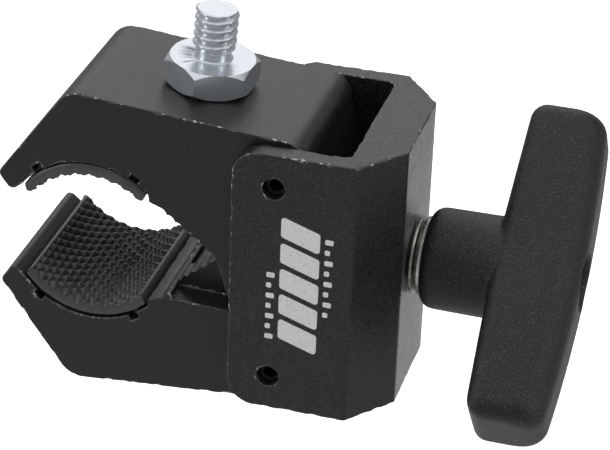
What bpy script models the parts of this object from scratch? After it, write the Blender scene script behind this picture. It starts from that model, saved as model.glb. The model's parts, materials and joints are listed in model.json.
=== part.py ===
"""Super clamp: two hinged jaws in a channel yoke, closed by a T-handle spindle.

The origin is the middle of the gripped tube. +X runs along the spindle towards
the handle, +Y across the clamp and +Z up towards the mounting stud. The clamp
stands open on a tube of about 21 mm, with the handle turned 51 degrees.

Turning the handle turns a captive spindle, which pulls a barrel nut along X.
The nut passes through the crossed fingers of both jaws and swings them shut.
"""
import math

import bmesh
import bpy

MM = 0.001

# Fits
GAP = 0.25 * MM             # between faces that touch
RUN = 0.10 * MM             # radial clearance of a pin or shaft in its hole
CUT_OVER = 2.0 * MM         # how far a cutter runs past the faces it opens
ROUND_STEPS = 28            # sides of a full turned circle

# Yoke, a channel cut from an extrusion that runs along Z
YOKE_LENGTH = 23.0 * MM
YOKE_WIDTH = 30.2 * MM
YOKE_HEIGHT = 40.4 * MM
PLATE = 2.8 * MM
BACK_WALL = 7.0 * MM
CHAMFER_X = 5.6 * MM
CHAMFER_Y = 7.0 * MM
PLATE_CORNER_R = 4.0 * MM
CHANNEL_FILLET = 1.3 * MM

# Pivots of the jaws
GRIP_TO_PIVOT = 27.7 * MM   # along X, from the tube's middle
PIVOT_SETBACK = 6.0 * MM    # behind the plates' front ends
PIVOT_RISE = 15.0 * MM      # above and below the spindle's axis
OPEN_ANGLE = math.radians(4.4)
PIN_D = 3.0 * MM
PIN_WALL = 0.6 * MM
PIN_RECESS = 1.2 * MM
PIN_SLOT = 0.6 * MM

# Jaws, drawn about their pivot with the back level
JAW_SIDE_CLEARANCE = 0.4 * MM
JAW_BACK_Z = 5.8 * MM
KNUCKLE_BACK_X = 3.6 * MM
KNUCKLE_CORNER_R = 3.3 * MM
KNUCKLE_DROP = 5.6 * MM       # below the pivot, where the fingers' backs start
SHOULDER = (-31.5 * MM, 4.0 * MM)           # place along the back, corner radius
TOE_FRONT = (-40.8 * MM, 5.6 * MM - PIVOT_RISE, 1.0 * MM)
TOE_TIP = (-38.7 * MM, 3.0 * MM - PIVOT_RISE, 0.8 * MM)
SEAT_CENTRE = (-26.45 * MM, -2.2 * MM - PIVOT_RISE)
SEAT_R = 12.6 * MM
SEAT_FROM = math.radians(148.0)             # at the toe, from +X
SEAT_TO = math.radians(51.0)
LAND_START = (-18.3 * MM, 6.5 * MM - PIVOT_RISE)
TEETH_START = (-16.8 * MM, 6.0 * MM - PIVOT_RISE)
NOSE = (-7.8 * MM, -PIVOT_RISE)
TEETH = 7
TOOTH_DEPTH = 0.25 * MM
TOOTH_SHAPE = ((0.0, 0.0), (0.3, 0.85), (0.55, 1.0), (0.8, 0.7))  # along, deep
FINGER_TIP_Z = -6.8 * MM - PIVOT_RISE
FINGER_FRONT_X = -5.1 * MM
FINGER_BACK_X = 6.6 * MM
FINGER_TIP_R = 2.5 * MM
NOTCH_START = (-14.75 * MM, 5.93 * MM - PIVOT_RISE)
NOTCH_FLOOR = (-6.4 * MM, 6.9 * MM - PIVOT_RISE)
NOTCH_DEEP = (-4.8 * MM, 8.2 * MM - PIVOT_RISE)

# Fingers lie side by side across Y: inner pair, then outer pair
CENTRE_GAP = 8.0 * MM
FINGER_SIDE_GAP = 0.3 * MM

# Rubber pads, keyed into the seats
PAD_THICKNESS = 2.5 * MM
PAD_INNER_R = 10.9 * MM
PAD_END_INSET = math.radians(0.6)
PAD_SIDE_INSET = 0.2 * MM
KEY_ANGLES = (math.radians(131.0), math.radians(64.0))
KEY_WIDTH = 1.1 * MM
KEY_DEPTH = 0.7 * MM
KEY_TAPER = 0.7             # narrow end of a key over its wide end

# Spindle, its nut and washers
SPINDLE_D = 6.0 * MM
NUT_D = 9.0 * MM
NUT_SIDE_INSET = 0.4 * MM
SPINDLE_NOSE = 3.4 * MM     # past the nut, towards the tube
CLIP_D = 7.4 * MM
CLIP_THICKNESS = 0.7 * MM
CLIP_GROOVE = 0.5 * MM
CLIP_MOUTH = 3.6 * MM
COLLAR_D = 7.6 * MM
COLLAR_LENGTH = 1.6 * MM
WASHER_D = 11.2 * MM
WASHER_THICKNESS = 0.5 * MM
TANG_D = 5.0 * MM
TANG_FLATS = 4.0 * MM
TANG_LENGTH = 12.0 * MM
CHEEK_REACH = 2.0 * MM      # of the insert's flats, each way from the axis

# Handle
HANDLE_TURN = math.radians(51.0)
INSERT_COLLAR_D = 11.4 * MM
INSERT_COLLAR_LENGTH = 1.6 * MM
INSERT_PROUD = 0.65 * MM    # of the hub's front
INSERT_D = 9.0 * MM
INSERT_LENGTH = 14.0 * MM   # with the collar
HUB_FRONT_D = 14.6 * MM
HUB_BACK_D = 14.8 * MM
HUB_RIM_R = 2.0 * MM
HUB_LENGTH = 10.2 * MM      # from the hub's front to the bar's middle
BAR_THICKNESS = 12.5 * MM
BAR_LENGTH = 47.8 * MM
BAR_WIDTH = 15.2 * MM
BAR_END_WIDTH = 14.1 * MM
BAR_FRONT_TAPER = 0.7 * MM
BAR_REAR_TAPER = 1.2 * MM
BAR_EDGE_R = 2.2 * MM
RECESS_D = 7.6 * MM
SCREW_D = 3.0 * MM
SCREW_HEAD_D = 5.6 * MM
SCREW_HEAD_LENGTH = 2.2 * MM
SCREW_LENGTH = 7.0 * MM
SCREW_SOCKET = 2.5 * MM
LOCK_WASHER_D = 6.6 * MM
LOCK_WASHER_THICKNESS = 0.6 * MM

# Stud, a quarter inch 20 thread on a hexagon
STUD_X = -14.35 * MM        # along the jaw's back, from its pivot
HEX_FLATS = 12.0 * MM
HEX_HEIGHT = 3.9 * MM
HEX_CHAMFER = 0.5 * MM
HEX_TURN = math.radians(26.3)
NECK_D = 5.0 * MM
NECK_LENGTH = 2.6 * MM
THREAD_D = 6.2 * MM
THREAD_LENGTH = 5.0 * MM
THREAD_CHAMFER = 0.6 * MM
SHANK_D = 7.8 * MM
SHANK_LENGTH = 7.0 * MM

# Places worked out from the sizes above
PLATE_FRONT_X = GRIP_TO_PIVOT - PIVOT_SETBACK
YOKE_BACK_X = PLATE_FRONT_X + YOKE_LENGTH
WALL_INNER_X = YOKE_BACK_X - BACK_WALL
CHANNEL_HALF = YOKE_WIDTH / 2 - PLATE
JAW_HALF = CHANNEL_HALF - JAW_SIDE_CLEARANCE
FINGER_SPLIT = (CENTRE_GAP / 2 + JAW_HALF) / 2
NUT_X = GRIP_TO_PIVOT - PIVOT_RISE * math.sin(OPEN_ANGLE)
SEAT_START = (SEAT_CENTRE[0] + SEAT_R * math.cos(SEAT_FROM),
              SEAT_CENTRE[1] + SEAT_R * math.sin(SEAT_FROM))


def clear_scene():
    """Remove whatever the file opened with."""
    for obj in list(bpy.data.objects):
        bpy.data.objects.remove(obj, do_unlink=True)


def new_collection(name):
    """Add a collection to the scene."""
    group = bpy.data.collections.new(name)
    bpy.context.scene.collection.children.link(group)
    return group


def principled(name, colour, roughness, metallic):
    """Make a plain Principled material."""
    made = bpy.data.materials.new(name)
    made.use_nodes = True
    shader = made.node_tree.nodes["Principled BSDF"]
    shader.inputs["Base Color"].default_value = (*colour, 1.0)
    shader.inputs["Roughness"].default_value = roughness
    shader.inputs["Metallic"].default_value = metallic
    return made


clear_scene()
PARTS = new_collection("super_clamp")
CUTTERS = new_collection("cutters")
BLACK_ANODISED = principled("black_anodised", (0.035, 0.035, 0.038), 0.5, 0.8)
RUBBER = principled("pad_rubber", (0.018, 0.018, 0.02), 0.7, 0.0)
ZINC = principled("bright_zinc", (0.66, 0.69, 0.73), 0.28, 1.0)
STEEL = principled("plain_steel", (0.42, 0.41, 0.40), 0.38, 1.0)
SPRING_STEEL = principled("spring_steel", (0.05, 0.05, 0.055), 0.4, 0.9)
HANDLE_BLACK = principled("handle_black", (0.022, 0.022, 0.024), 0.55, 0.0)


def put_in(obj, group):
    """Move an object into one collection only."""
    for owner in list(obj.users_collection):
        owner.objects.unlink(obj)
    group.objects.link(obj)


def as_part(obj, name, material, parent=None):
    """Name a finished solid, dress it and hang it on its parent."""
    obj.name = name
    obj.data.name = name
    obj.data.materials.clear()
    obj.data.materials.append(material)
    put_in(obj, PARTS)
    obj.parent = parent
    return obj


def as_cutter(obj):
    """Mark an object as a cutter that the build leaves out."""
    put_in(obj, CUTTERS)
    obj.hide_render = True
    obj.display_type = "WIRE"
    return obj


def joint_empty(name, place, turn):
    """Add an empty on a joint's axis for the pieces that move about it."""
    empty = bpy.data.objects.new(name, None)
    empty.location = place
    empty.rotation_euler = turn
    PARTS.objects.link(empty)
    return empty


def smooth(obj, angle=math.radians(35.0)):
    """Shade a mesh smooth except at its sharp edges."""
    obj.data.shade_smooth()
    obj.data.set_sharp_from_angle(angle=angle)
    return obj


def boolean(obj, cutter, operation="DIFFERENCE"):
    """Cut or join one mesh with another, which rides on it as a cutter."""
    as_cutter(cutter)
    cutter.parent = obj
    cut = obj.modifiers.new(operation.lower(), "BOOLEAN")
    cut.operation = operation
    cut.solver = "EXACT"
    cut.object = cutter
    return obj


def arc(centre, radius, start, end, steps):
    """List points along an arc, both ends included."""
    points = []
    for step in range(steps + 1):
        angle = start + (end - start) * step / steps
        points.append((centre[0] + radius * math.cos(angle),
                       centre[1] + radius * math.sin(angle)))
    return points


def rounded(before, corner, after, radius, steps=4):
    """List the arc that rounds one corner of an outline."""
    def unit(point):
        dx = point[0] - corner[0]
        dy = point[1] - corner[1]
        length = math.hypot(dx, dy)
        return dx / length, dy / length
    to_before = unit(before)
    to_after = unit(after)
    half = math.acos(to_before[0] * to_after[0] + to_before[1] * to_after[1]) / 2
    middle = (to_before[0] + to_after[0], to_before[1] + to_after[1])
    scale = radius / math.sin(half) / math.hypot(*middle)
    centre = (corner[0] + middle[0] * scale, corner[1] + middle[1] * scale)
    reach = radius / math.tan(half)
    first = (corner[0] + to_before[0] * reach - centre[0],
             corner[1] + to_before[1] * reach - centre[1])
    last = (corner[0] + to_after[0] * reach - centre[0],
            corner[1] + to_after[1] * reach - centre[1])
    start = math.atan2(first[1], first[0])
    turn = math.atan2(last[1], last[0]) - start
    turn = (turn + math.pi) % (2 * math.pi) - math.pi
    return arc(centre, radius, start, start + turn, steps)


def round_outline(corners, steps=4):
    """Turn (x, y, radius) corners into outline points with rounded corners."""
    points = []
    for index, (x, y, radius) in enumerate(corners):
        if radius == 0:
            points.append((x, y))
            continue
        before = corners[index - 1][:2]
        after = corners[(index + 1) % len(corners)][:2]
        points.extend(rounded(before, (x, y), after, radius, steps))
    return points


def prism(name, outline, low, high):
    """Extrude a closed 2D outline along local Z, from low to high, as a mesh."""
    curve = bpy.data.curves.new(name, "CURVE")
    curve.dimensions = "2D"
    curve.fill_mode = "BOTH"
    curve.extrude = (high - low) / 2
    spline = curve.splines.new("POLY")
    spline.points.add(len(outline) - 1)
    for point, (x, y) in zip(spline.points, outline):
        point.co = (x, y, 0.0, 1.0)
    spline.use_cyclic_u = True
    flat = bpy.data.objects.new(name, curve)
    CUTTERS.objects.link(flat)
    bpy.context.view_layer.update()
    graph = bpy.context.evaluated_depsgraph_get()
    mesh = bpy.data.meshes.new_from_object(flat.evaluated_get(graph))
    bpy.data.objects.remove(flat, do_unlink=True)
    shape = bmesh.new()
    shape.from_mesh(mesh)
    bmesh.ops.remove_doubles(shape, verts=shape.verts, dist=0.00001)
    bmesh.ops.translate(shape, verts=shape.verts, vec=(0, 0, (low + high) / 2))
    bmesh.ops.dissolve_limit(shape, angle_limit=math.radians(0.5), verts=shape.verts,
                             edges=shape.edges)
    bmesh.ops.recalc_face_normals(shape, faces=shape.faces)
    shape.to_mesh(mesh)
    shape.free()
    solid = bpy.data.objects.new(name, mesh)
    CUTTERS.objects.link(solid)
    return solid


def side_prism(name, outline, low, high):
    """Extrude an outline drawn in X and Z across the clamp, from low to high Y."""
    solid = prism(name, outline, -high, -low)
    for vert in solid.data.vertices:
        vert.co = (vert.co.x, -vert.co.z, vert.co.y)
    return solid


def cylinder(name, diameter, length, axis, centre, steps=ROUND_STEPS):
    """Add a cylinder whose axis is X, Y or Z through its centre."""
    turns = {"X": (0, math.pi / 2, 0), "Y": (math.pi / 2, 0, 0), "Z": (0, 0, 0)}
    bpy.ops.mesh.primitive_cylinder_add(vertices=steps, radius=diameter / 2,
                                        depth=length, location=centre,
                                        rotation=turns[axis])
    solid = bpy.context.object
    bpy.ops.object.transform_apply(location=True, rotation=True, scale=True)
    solid.name = name
    put_in(solid, CUTTERS)
    return smooth(solid)


def box(name, low, high):
    """Add a box between two corners."""
    bpy.ops.mesh.primitive_cube_add(size=1.0)
    solid = bpy.context.object
    solid.name = name
    solid.scale = [b - a for a, b in zip(low, high)]
    solid.location = [(a + b) / 2 for a, b in zip(low, high)]
    bpy.ops.object.transform_apply(location=True, rotation=True, scale=True)
    put_in(solid, CUTTERS)
    return solid


def turned(name, profile, steps=ROUND_STEPS):
    """Turn an (along, radius) profile, rear end first, about the X axis."""
    mesh = bpy.data.meshes.new(name)
    shape = bmesh.new()
    verts = [shape.verts.new((radius, 0.0, along)) for along, radius in profile]
    for first, second in zip(verts, verts[1:]):
        shape.edges.new((first, second))
    shape.to_mesh(mesh)
    shape.free()
    solid = bpy.data.objects.new(name, mesh)
    CUTTERS.objects.link(solid)
    spin = solid.modifiers.new("turn", "SCREW")
    spin.axis = "Z"
    spin.steps = steps
    spin.render_steps = steps
    spin.use_merge_vertices = True
    spin.merge_threshold = 0.00001
    spin.use_smooth_shade = True
    bpy.context.view_layer.update()
    graph = bpy.context.evaluated_depsgraph_get()
    solid_mesh = bpy.data.meshes.new_from_object(solid.evaluated_get(graph))
    bpy.data.objects.remove(solid, do_unlink=True)
    for vert in solid_mesh.vertices:
        vert.co = (vert.co.z, vert.co.y, -vert.co.x)
    made = bpy.data.objects.new(name, solid_mesh)
    CUTTERS.objects.link(made)
    return smooth(made)


def ring_profile(front, back, bore, outside):
    """List the profile of a plain ring, closed around its bore."""
    return [(back, bore), (back, outside), (front, outside), (front, bore), (back, bore)]


def yoke():
    """Cut the channel yoke from its extrusion."""
    half = YOKE_WIDTH / 2
    inner = CHANNEL_HALF
    outline = round_outline([
        (PLATE_FRONT_X, -half, 0),
        (YOKE_BACK_X - CHAMFER_X, -half, 0),
        (YOKE_BACK_X, -half + CHAMFER_Y, 0),
        (YOKE_BACK_X, half - CHAMFER_Y, 0),
        (YOKE_BACK_X - CHAMFER_X, half, 0),
        (PLATE_FRONT_X, half, 0),
        (PLATE_FRONT_X, inner, 0),
        (WALL_INNER_X, inner, CHANNEL_FILLET),
        (WALL_INNER_X, -inner, CHANNEL_FILLET),
        (PLATE_FRONT_X, -inner, 0),
    ])
    body = prism("yoke", outline, -YOKE_HEIGHT / 2, YOKE_HEIGHT / 2)
    tall = YOKE_HEIGHT / 2
    far = YOKE_BACK_X + CUT_OVER
    side = round_outline([
        (PLATE_FRONT_X - CUT_OVER, -tall - CUT_OVER, 0),
        (PLATE_FRONT_X + PLATE_CORNER_R, -tall - CUT_OVER, 0),
        (PLATE_FRONT_X + PLATE_CORNER_R, -tall, 0),
        (PLATE_FRONT_X, -tall, PLATE_CORNER_R),
        (PLATE_FRONT_X, tall, PLATE_CORNER_R),
        (PLATE_FRONT_X + PLATE_CORNER_R, tall, 0),
        (PLATE_FRONT_X + PLATE_CORNER_R, tall + CUT_OVER, 0),
        (PLATE_FRONT_X - CUT_OVER, tall + CUT_OVER, 0),
    ], steps=6)
    boolean(body, side_prism("plate_corners", side, -half - CUT_OVER, half + CUT_OVER))
    boolean(body, cylinder("spindle_hole", SPINDLE_D + 2 * RUN, far - WALL_INNER_X + CUT_OVER,
                           "X", ((WALL_INNER_X + far) / 2, 0, 0)))
    for sign, place in ((1, "upper"), (-1, "lower")):
        hole = cylinder(place + "_pin_hole", PIN_D + 2 * RUN, YOKE_WIDTH + 2 * CUT_OVER, "Y",
                        (GRIP_TO_PIVOT, 0, sign * PIVOT_RISE), 20)
        boolean(body, hole)
    return as_part(body, "yoke", BLACK_ANODISED)


def tooth_points():
    """List the scalloped ramp from its first tooth to the nose."""
    dx = (NOSE[0] - TEETH_START[0]) / TEETH
    dz = (NOSE[1] - TEETH_START[1]) / TEETH
    pitch = math.hypot(dx, dz)
    inward = (-dz / pitch, dx / pitch)
    points = []
    for tooth in range(TEETH):
        for part, share in TOOTH_SHAPE:
            along = tooth + part
            depth = share * TOOTH_DEPTH
            points.append((TEETH_START[0] + dx * along + inward[0] * depth,
                           TEETH_START[1] + dz * along + inward[1] * depth))
    return points


def jaw_outline():
    """Draw a jaw's side view about its pivot, counter-clockwise."""
    knuckle = rounded((KNUCKLE_BACK_X, 0), (KNUCKLE_BACK_X, JAW_BACK_Z),
                      (0, JAW_BACK_Z), KNUCKLE_CORNER_R, 6)
    front = rounded((0, JAW_BACK_Z), (SHOULDER[0], JAW_BACK_Z), TOE_FRONT[:2], SHOULDER[1], 5)
    toe = rounded((SHOULDER[0], JAW_BACK_Z), TOE_FRONT[:2], TOE_TIP[:2], TOE_FRONT[2], 3)
    toe += rounded(TOE_FRONT[:2], TOE_TIP[:2], SEAT_START, TOE_TIP[2], 3)
    seat = arc(SEAT_CENTRE, SEAT_R, SEAT_FROM, SEAT_TO, 16)
    ramp = [LAND_START] + tooth_points() + [NOSE]
    tip_front = (FINGER_FRONT_X, FINGER_TIP_Z)
    tip_back = (FINGER_BACK_X, FINGER_TIP_Z)
    finger = rounded(NOSE, tip_front, tip_back, FINGER_TIP_R)
    finger += rounded(tip_front, tip_back, (FINGER_BACK_X, 0), FINGER_TIP_R)
    finger.append((FINGER_BACK_X, -KNUCKLE_DROP))
    return knuckle + front + toe + seat + ramp + finger


def notch_outline():
    """Draw what is cut away beside a finger, for the other jaw's fingers."""
    below = FINGER_TIP_Z - CUT_OVER
    behind = FINGER_BACK_X + CUT_OVER
    return [
        (NOTCH_START[0], below),
        (behind, below),
        (behind, NOTCH_DEEP[1]),
        (NOTCH_DEEP[0], NOTCH_DEEP[1]),
        NOTCH_FLOOR,
        NOTCH_START,
    ]


def key_outline(angle, clearance):
    """Draw a pad's key, or with a clearance the groove it sits in."""
    half = KEY_WIDTH / 2 + clearance
    low = SEAT_R - PAD_THICKNESS / 2
    high = SEAT_R + KEY_DEPTH + clearance
    across = (-math.sin(angle), math.cos(angle))
    out = (math.cos(angle), math.sin(angle))
    neck = half * KEY_TAPER
    corners = ((low, -neck), (low, neck), (high, half), (high, -half))
    return [(SEAT_CENTRE[0] + out[0] * r + across[0] * s,
             SEAT_CENTRE[1] + out[1] * r + across[1] * s) for r, s in corners]


def jaw(name, parent, with_stud):
    """Saw a jaw from its extrusion and mill its fingers, holes and grooves."""
    body = side_prism(name, jaw_outline(), -JAW_HALF, JAW_HALF)
    half_gap = FINGER_SIDE_GAP / 2
    split = FINGER_SPLIT
    notches = (("near", -split - half_gap, CENTRE_GAP / 2),
               ("far", split - half_gap, JAW_HALF + CUT_OVER))
    for place, low, high in notches:
        boolean(body, side_prism(name + "_notch_" + place, notch_outline(), low, high))
    boolean(body, cylinder(name + "_pivot_hole", PIN_D + 2 * RUN, 3 * JAW_HALF, "Y",
                           (0, 0, 0), 20))
    boolean(body, cylinder(name + "_nut_hole", NUT_D + 2 * RUN, 3 * JAW_HALF, "Y",
                           (0, 0, -PIVOT_RISE)))
    for number, angle in enumerate(KEY_ANGLES, 1):
        groove = side_prism(f"{name}_groove_{number}", key_outline(angle, GAP),
                            -JAW_HALF - CUT_OVER, JAW_HALF + CUT_OVER)
        boolean(body, groove)
    if with_stud:
        deep = SHANK_LENGTH + GAP
        hole = cylinder(name + "_stud_hole", SHANK_D + 2 * GAP, deep + CUT_OVER, "Z",
                        (STUD_X, 0, JAW_BACK_Z + (CUT_OVER - deep) / 2), 24)
        boolean(body, hole)
    return as_part(body, name, BLACK_ANODISED, parent)


def pad_outline():
    """Draw a pad's side view in its jaw's frame, without its keys."""
    outer = SEAT_R - GAP
    start = SEAT_FROM - PAD_END_INSET
    end = SEAT_TO + PAD_END_INSET
    drop = PAD_INNER_R - (SEAT_R - PAD_THICKNESS)
    centre = (SEAT_CENTRE[0], SEAT_CENTRE[1] - drop)
    back = arc(SEAT_CENTRE, outer, end, start, 14)
    face = arc(centre, PAD_INNER_R, start + math.radians(1), end - math.radians(1), 14)
    return back + face


def pad(name, parent):
    """Mould a rubber pad with the two keys that hold it in the seat."""
    half = JAW_HALF - PAD_SIDE_INSET
    body = side_prism(name, pad_outline(), -half, half)
    for number, angle in enumerate(KEY_ANGLES, 1):
        key = side_prism(f"{name}_key_{number}", key_outline(angle, 0.0), -half, half)
        boolean(body, key, "UNION")
    return as_part(body, name, RUBBER, parent)


def pivot_pin(name, sign):
    """Roll a slotted spring pin, sunk a little into both plates."""
    length = YOKE_WIDTH - 2 * PIN_RECESS
    place = (GRIP_TO_PIVOT, 0, sign * PIVOT_RISE)
    body = cylinder(name, PIN_D, length, "Y", (0, 0, 0), 20)
    boolean(body, cylinder(name + "_bore", PIN_D - 2 * PIN_WALL, length + CUT_OVER, "Y",
                           (0, 0, 0), 20))
    slot = box(name + "_slot", (0, -length, -PIN_SLOT / 2), (PIN_D, length, PIN_SLOT / 2))
    boolean(body, slot)
    body.location = place
    return as_part(body, name, SPRING_STEEL)


def barrel_nut():
    """Turn the nut that crosses the fingers, tapped for the spindle."""
    length = 2 * (JAW_HALF - NUT_SIDE_INSET)
    body = cylinder("barrel_nut", NUT_D, length, "Y", (0, 0, 0))
    boolean(body, cylinder("nut_thread", SPINDLE_D + 2 * RUN, 2 * NUT_D, "X", (0, 0, 0)))
    body.location = (NUT_X, 0, 0)
    return as_part(body, "barrel_nut", STEEL)


def spindle_places():
    """Work out where the spindle's steps lie along X."""
    collar_back = WALL_INNER_X - 2 * GAP - WASHER_THICKNESS
    nut_front = NUT_X - NUT_D / 2
    insert_front = YOKE_BACK_X + 2 * GAP + WASHER_THICKNESS
    return {
        "nose": nut_front - SPINDLE_NOSE,
        "clip": nut_front - GAP - CLIP_THICKNESS,
        "collar_front": collar_back - COLLAR_LENGTH,
        "collar_back": collar_back,
        "tang": YOKE_BACK_X + GAP,
        "tang_end": YOKE_BACK_X + GAP + TANG_LENGTH,
        "insert_front": insert_front,
        "insert_back": insert_front + INSERT_LENGTH,
        "hub_front": insert_front + INSERT_PROUD,
    }


def spindle(parent):
    """Turn the spindle, with its collar and flatted tang."""
    at = spindle_places()
    rod = SPINDLE_D / 2
    tang = TANG_D / 2
    chamfer = (SPINDLE_D - TANG_D) / 2
    groove = rod - CLIP_GROOVE
    body = turned("spindle", [
        (at["tang_end"], 0.0),
        (at["tang_end"], tang),
        (at["tang"], tang),
        (at["tang"], rod),
        (at["collar_back"], rod),
        (at["collar_back"], COLLAR_D / 2),
        (at["collar_front"], COLLAR_D / 2),
        (at["collar_front"], rod),
        (at["clip"] + CLIP_THICKNESS + GAP / 2, rod),
        (at["clip"] + CLIP_THICKNESS + GAP / 2, groove),
        (at["clip"] - GAP / 2, groove),
        (at["clip"] - GAP / 2, rod),
        (at["nose"] + chamfer, rod),
        (at["nose"], rod - chamfer),
        (at["nose"], 0.0),
    ])
    for sign in (-1, 1):
        inner = sign * TANG_FLATS / 2
        outer = sign * TANG_D
        flat = box("tang_flat", (at["tang"] + GAP, min(inner, outer), -TANG_D),
                   (at["tang_end"] + CUT_OVER, max(inner, outer), TANG_D))
        boolean(body, flat)
    bore = cylinder("tang_thread", SCREW_D + 2 * RUN, SCREW_LENGTH + CUT_OVER, "X",
                    (at["tang_end"] - (SCREW_LENGTH - CUT_OVER) / 2, 0, 0), 18)
    boolean(body, bore)
    return as_part(body, "spindle", STEEL, parent)


def end_clip(parent):
    """Stamp the open clip that stops the nut from running off the spindle."""
    front = spindle_places()["clip"]
    bore = SPINDLE_D / 2 - CLIP_GROOVE + RUN
    body = turned("end_clip", ring_profile(front, front + CLIP_THICKNESS, bore, CLIP_D / 2))
    mouth = box("clip_mouth", (front - CUT_OVER, -CLIP_MOUTH / 2, 0),
                (front + CUT_OVER, CLIP_MOUTH / 2, CLIP_D))
    boolean(body, mouth)
    return as_part(body, "end_clip", SPRING_STEEL, parent)


def washer(name, front, bore, outside, thickness, material, parent):
    """Punch a flat washer whose front face is at one place along X."""
    body = turned(name, ring_profile(front, front + thickness, bore / 2, outside / 2))
    return as_part(body, name, material, parent)


def handle_insert(parent):
    """Turn the steel insert that the handle is moulded on."""
    at = spindle_places()
    front = at["insert_front"]
    back = at["insert_back"]
    bore = TANG_D / 2 + RUN
    shoulder = front + INSERT_COLLAR_LENGTH
    body = turned("handle_insert", [
        (back, bore),
        (back, INSERT_D / 2),
        (shoulder, INSERT_D / 2),
        (shoulder, INSERT_COLLAR_D / 2),
        (front, INSERT_COLLAR_D / 2),
        (front, bore),
        (back, bore),
    ])
    for sign in (-1, 1):
        inner = sign * (TANG_FLATS / 2 + RUN)
        outer = sign * (INSERT_D + TANG_D) / 4      # half way out to the insert's skin
        cheek = box("insert_cheek", (front + GAP, min(inner, outer), -CHEEK_REACH),
                    (back - GAP, max(inner, outer), CHEEK_REACH))
        boolean(body, cheek, "UNION")
    return as_part(body, "handle_insert", STEEL, parent)


def bar_outline(middle_front, middle_back):
    """Draw the bar in X and Z: flat tapering front and bowed rear."""
    half = BAR_LENGTH / 2
    steps = 5
    rear = []
    for step in range(-steps, steps + 1):
        share = step / steps
        rear.append((middle_back - BAR_REAR_TAPER * share * share, half * share))
    end_front = middle_front + BAR_FRONT_TAPER
    return rear + [(end_front, half), (middle_front, 0), (end_front, -half)]


def t_handle(parent):
    """Mould the T-handle: a bowed bar on a tapering hub, with a screw recess."""
    at = spindle_places()
    hub = at["hub_front"]
    bar = hub + HUB_LENGTH
    rear = bar + BAR_THICKNESS
    body = side_prism("t_handle", bar_outline(bar, rear), -BAR_WIDTH / 2, BAR_WIDTH / 2)
    for vert in body.data.vertices:
        share = abs(vert.co.z) / (BAR_LENGTH / 2)
        vert.co.y *= 1 - (1 - BAR_END_WIDTH / BAR_WIDTH) * share * share
    edges = body.modifiers.new("edges", "BEVEL")
    edges.width = BAR_EDGE_R
    edges.segments = 3
    edges.limit_method = "ANGLE"
    edges.angle_limit = math.radians(60)
    rim = arc((hub + HUB_RIM_R, HUB_FRONT_D / 2 - HUB_RIM_R), HUB_RIM_R,
              math.pi / 2, math.pi, 4)
    inside = bar + BAR_EDGE_R
    hub_shape = turned("hub", [(inside, 0.0), (inside, HUB_BACK_D / 2)] + rim
                       + [(hub, 0.0)])
    boolean(body, hub_shape, "UNION")
    hole_end = at["insert_back"] + GAP
    hole = cylinder("insert_hole", INSERT_D + 2 * GAP, hole_end - hub + CUT_OVER, "X",
                    ((hub + hole_end - CUT_OVER) / 2, 0, 0))
    collar_end = at["insert_front"] + INSERT_COLLAR_LENGTH + GAP
    counterbore = cylinder("collar_hole", INSERT_COLLAR_D + 2 * GAP,
                           collar_end - hub + CUT_OVER, "X",
                           ((hub + collar_end - CUT_OVER) / 2, 0, 0))
    length = rear + CUT_OVER - hole_end + GAP
    recess = cylinder("screw_recess", RECESS_D, length, "X",
                      (hole_end - GAP + length / 2, 0, 0))
    for cutter in (hole, counterbore, recess):
        boolean(body, cutter)
    smooth(body, math.radians(40))
    return as_part(body, "t_handle", HANDLE_BLACK, parent)


def handle_screw(parent):
    """Turn the socket screw that holds the handle on the spindle's tang."""
    at = spindle_places()
    seat = at["insert_back"] + 2 * GAP + LOCK_WASHER_THICKNESS
    tip = at["tang_end"] - SCREW_LENGTH + GAP
    shank = SCREW_D / 2
    head = SCREW_HEAD_D / 2
    body = turned("handle_screw", [
        (seat + SCREW_HEAD_LENGTH, 0.0),
        (seat + SCREW_HEAD_LENGTH, head),
        (seat, head),
        (seat, shank),
        (tip, shank),
        (tip, 0.0),
    ])
    socket = cylinder("screw_socket", SCREW_SOCKET, SCREW_HEAD_LENGTH, "X",
                      (seat + SCREW_HEAD_LENGTH, 0, 0), 6)
    boolean(body, socket)
    return as_part(body, "handle_screw", SPRING_STEEL, parent)


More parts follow.
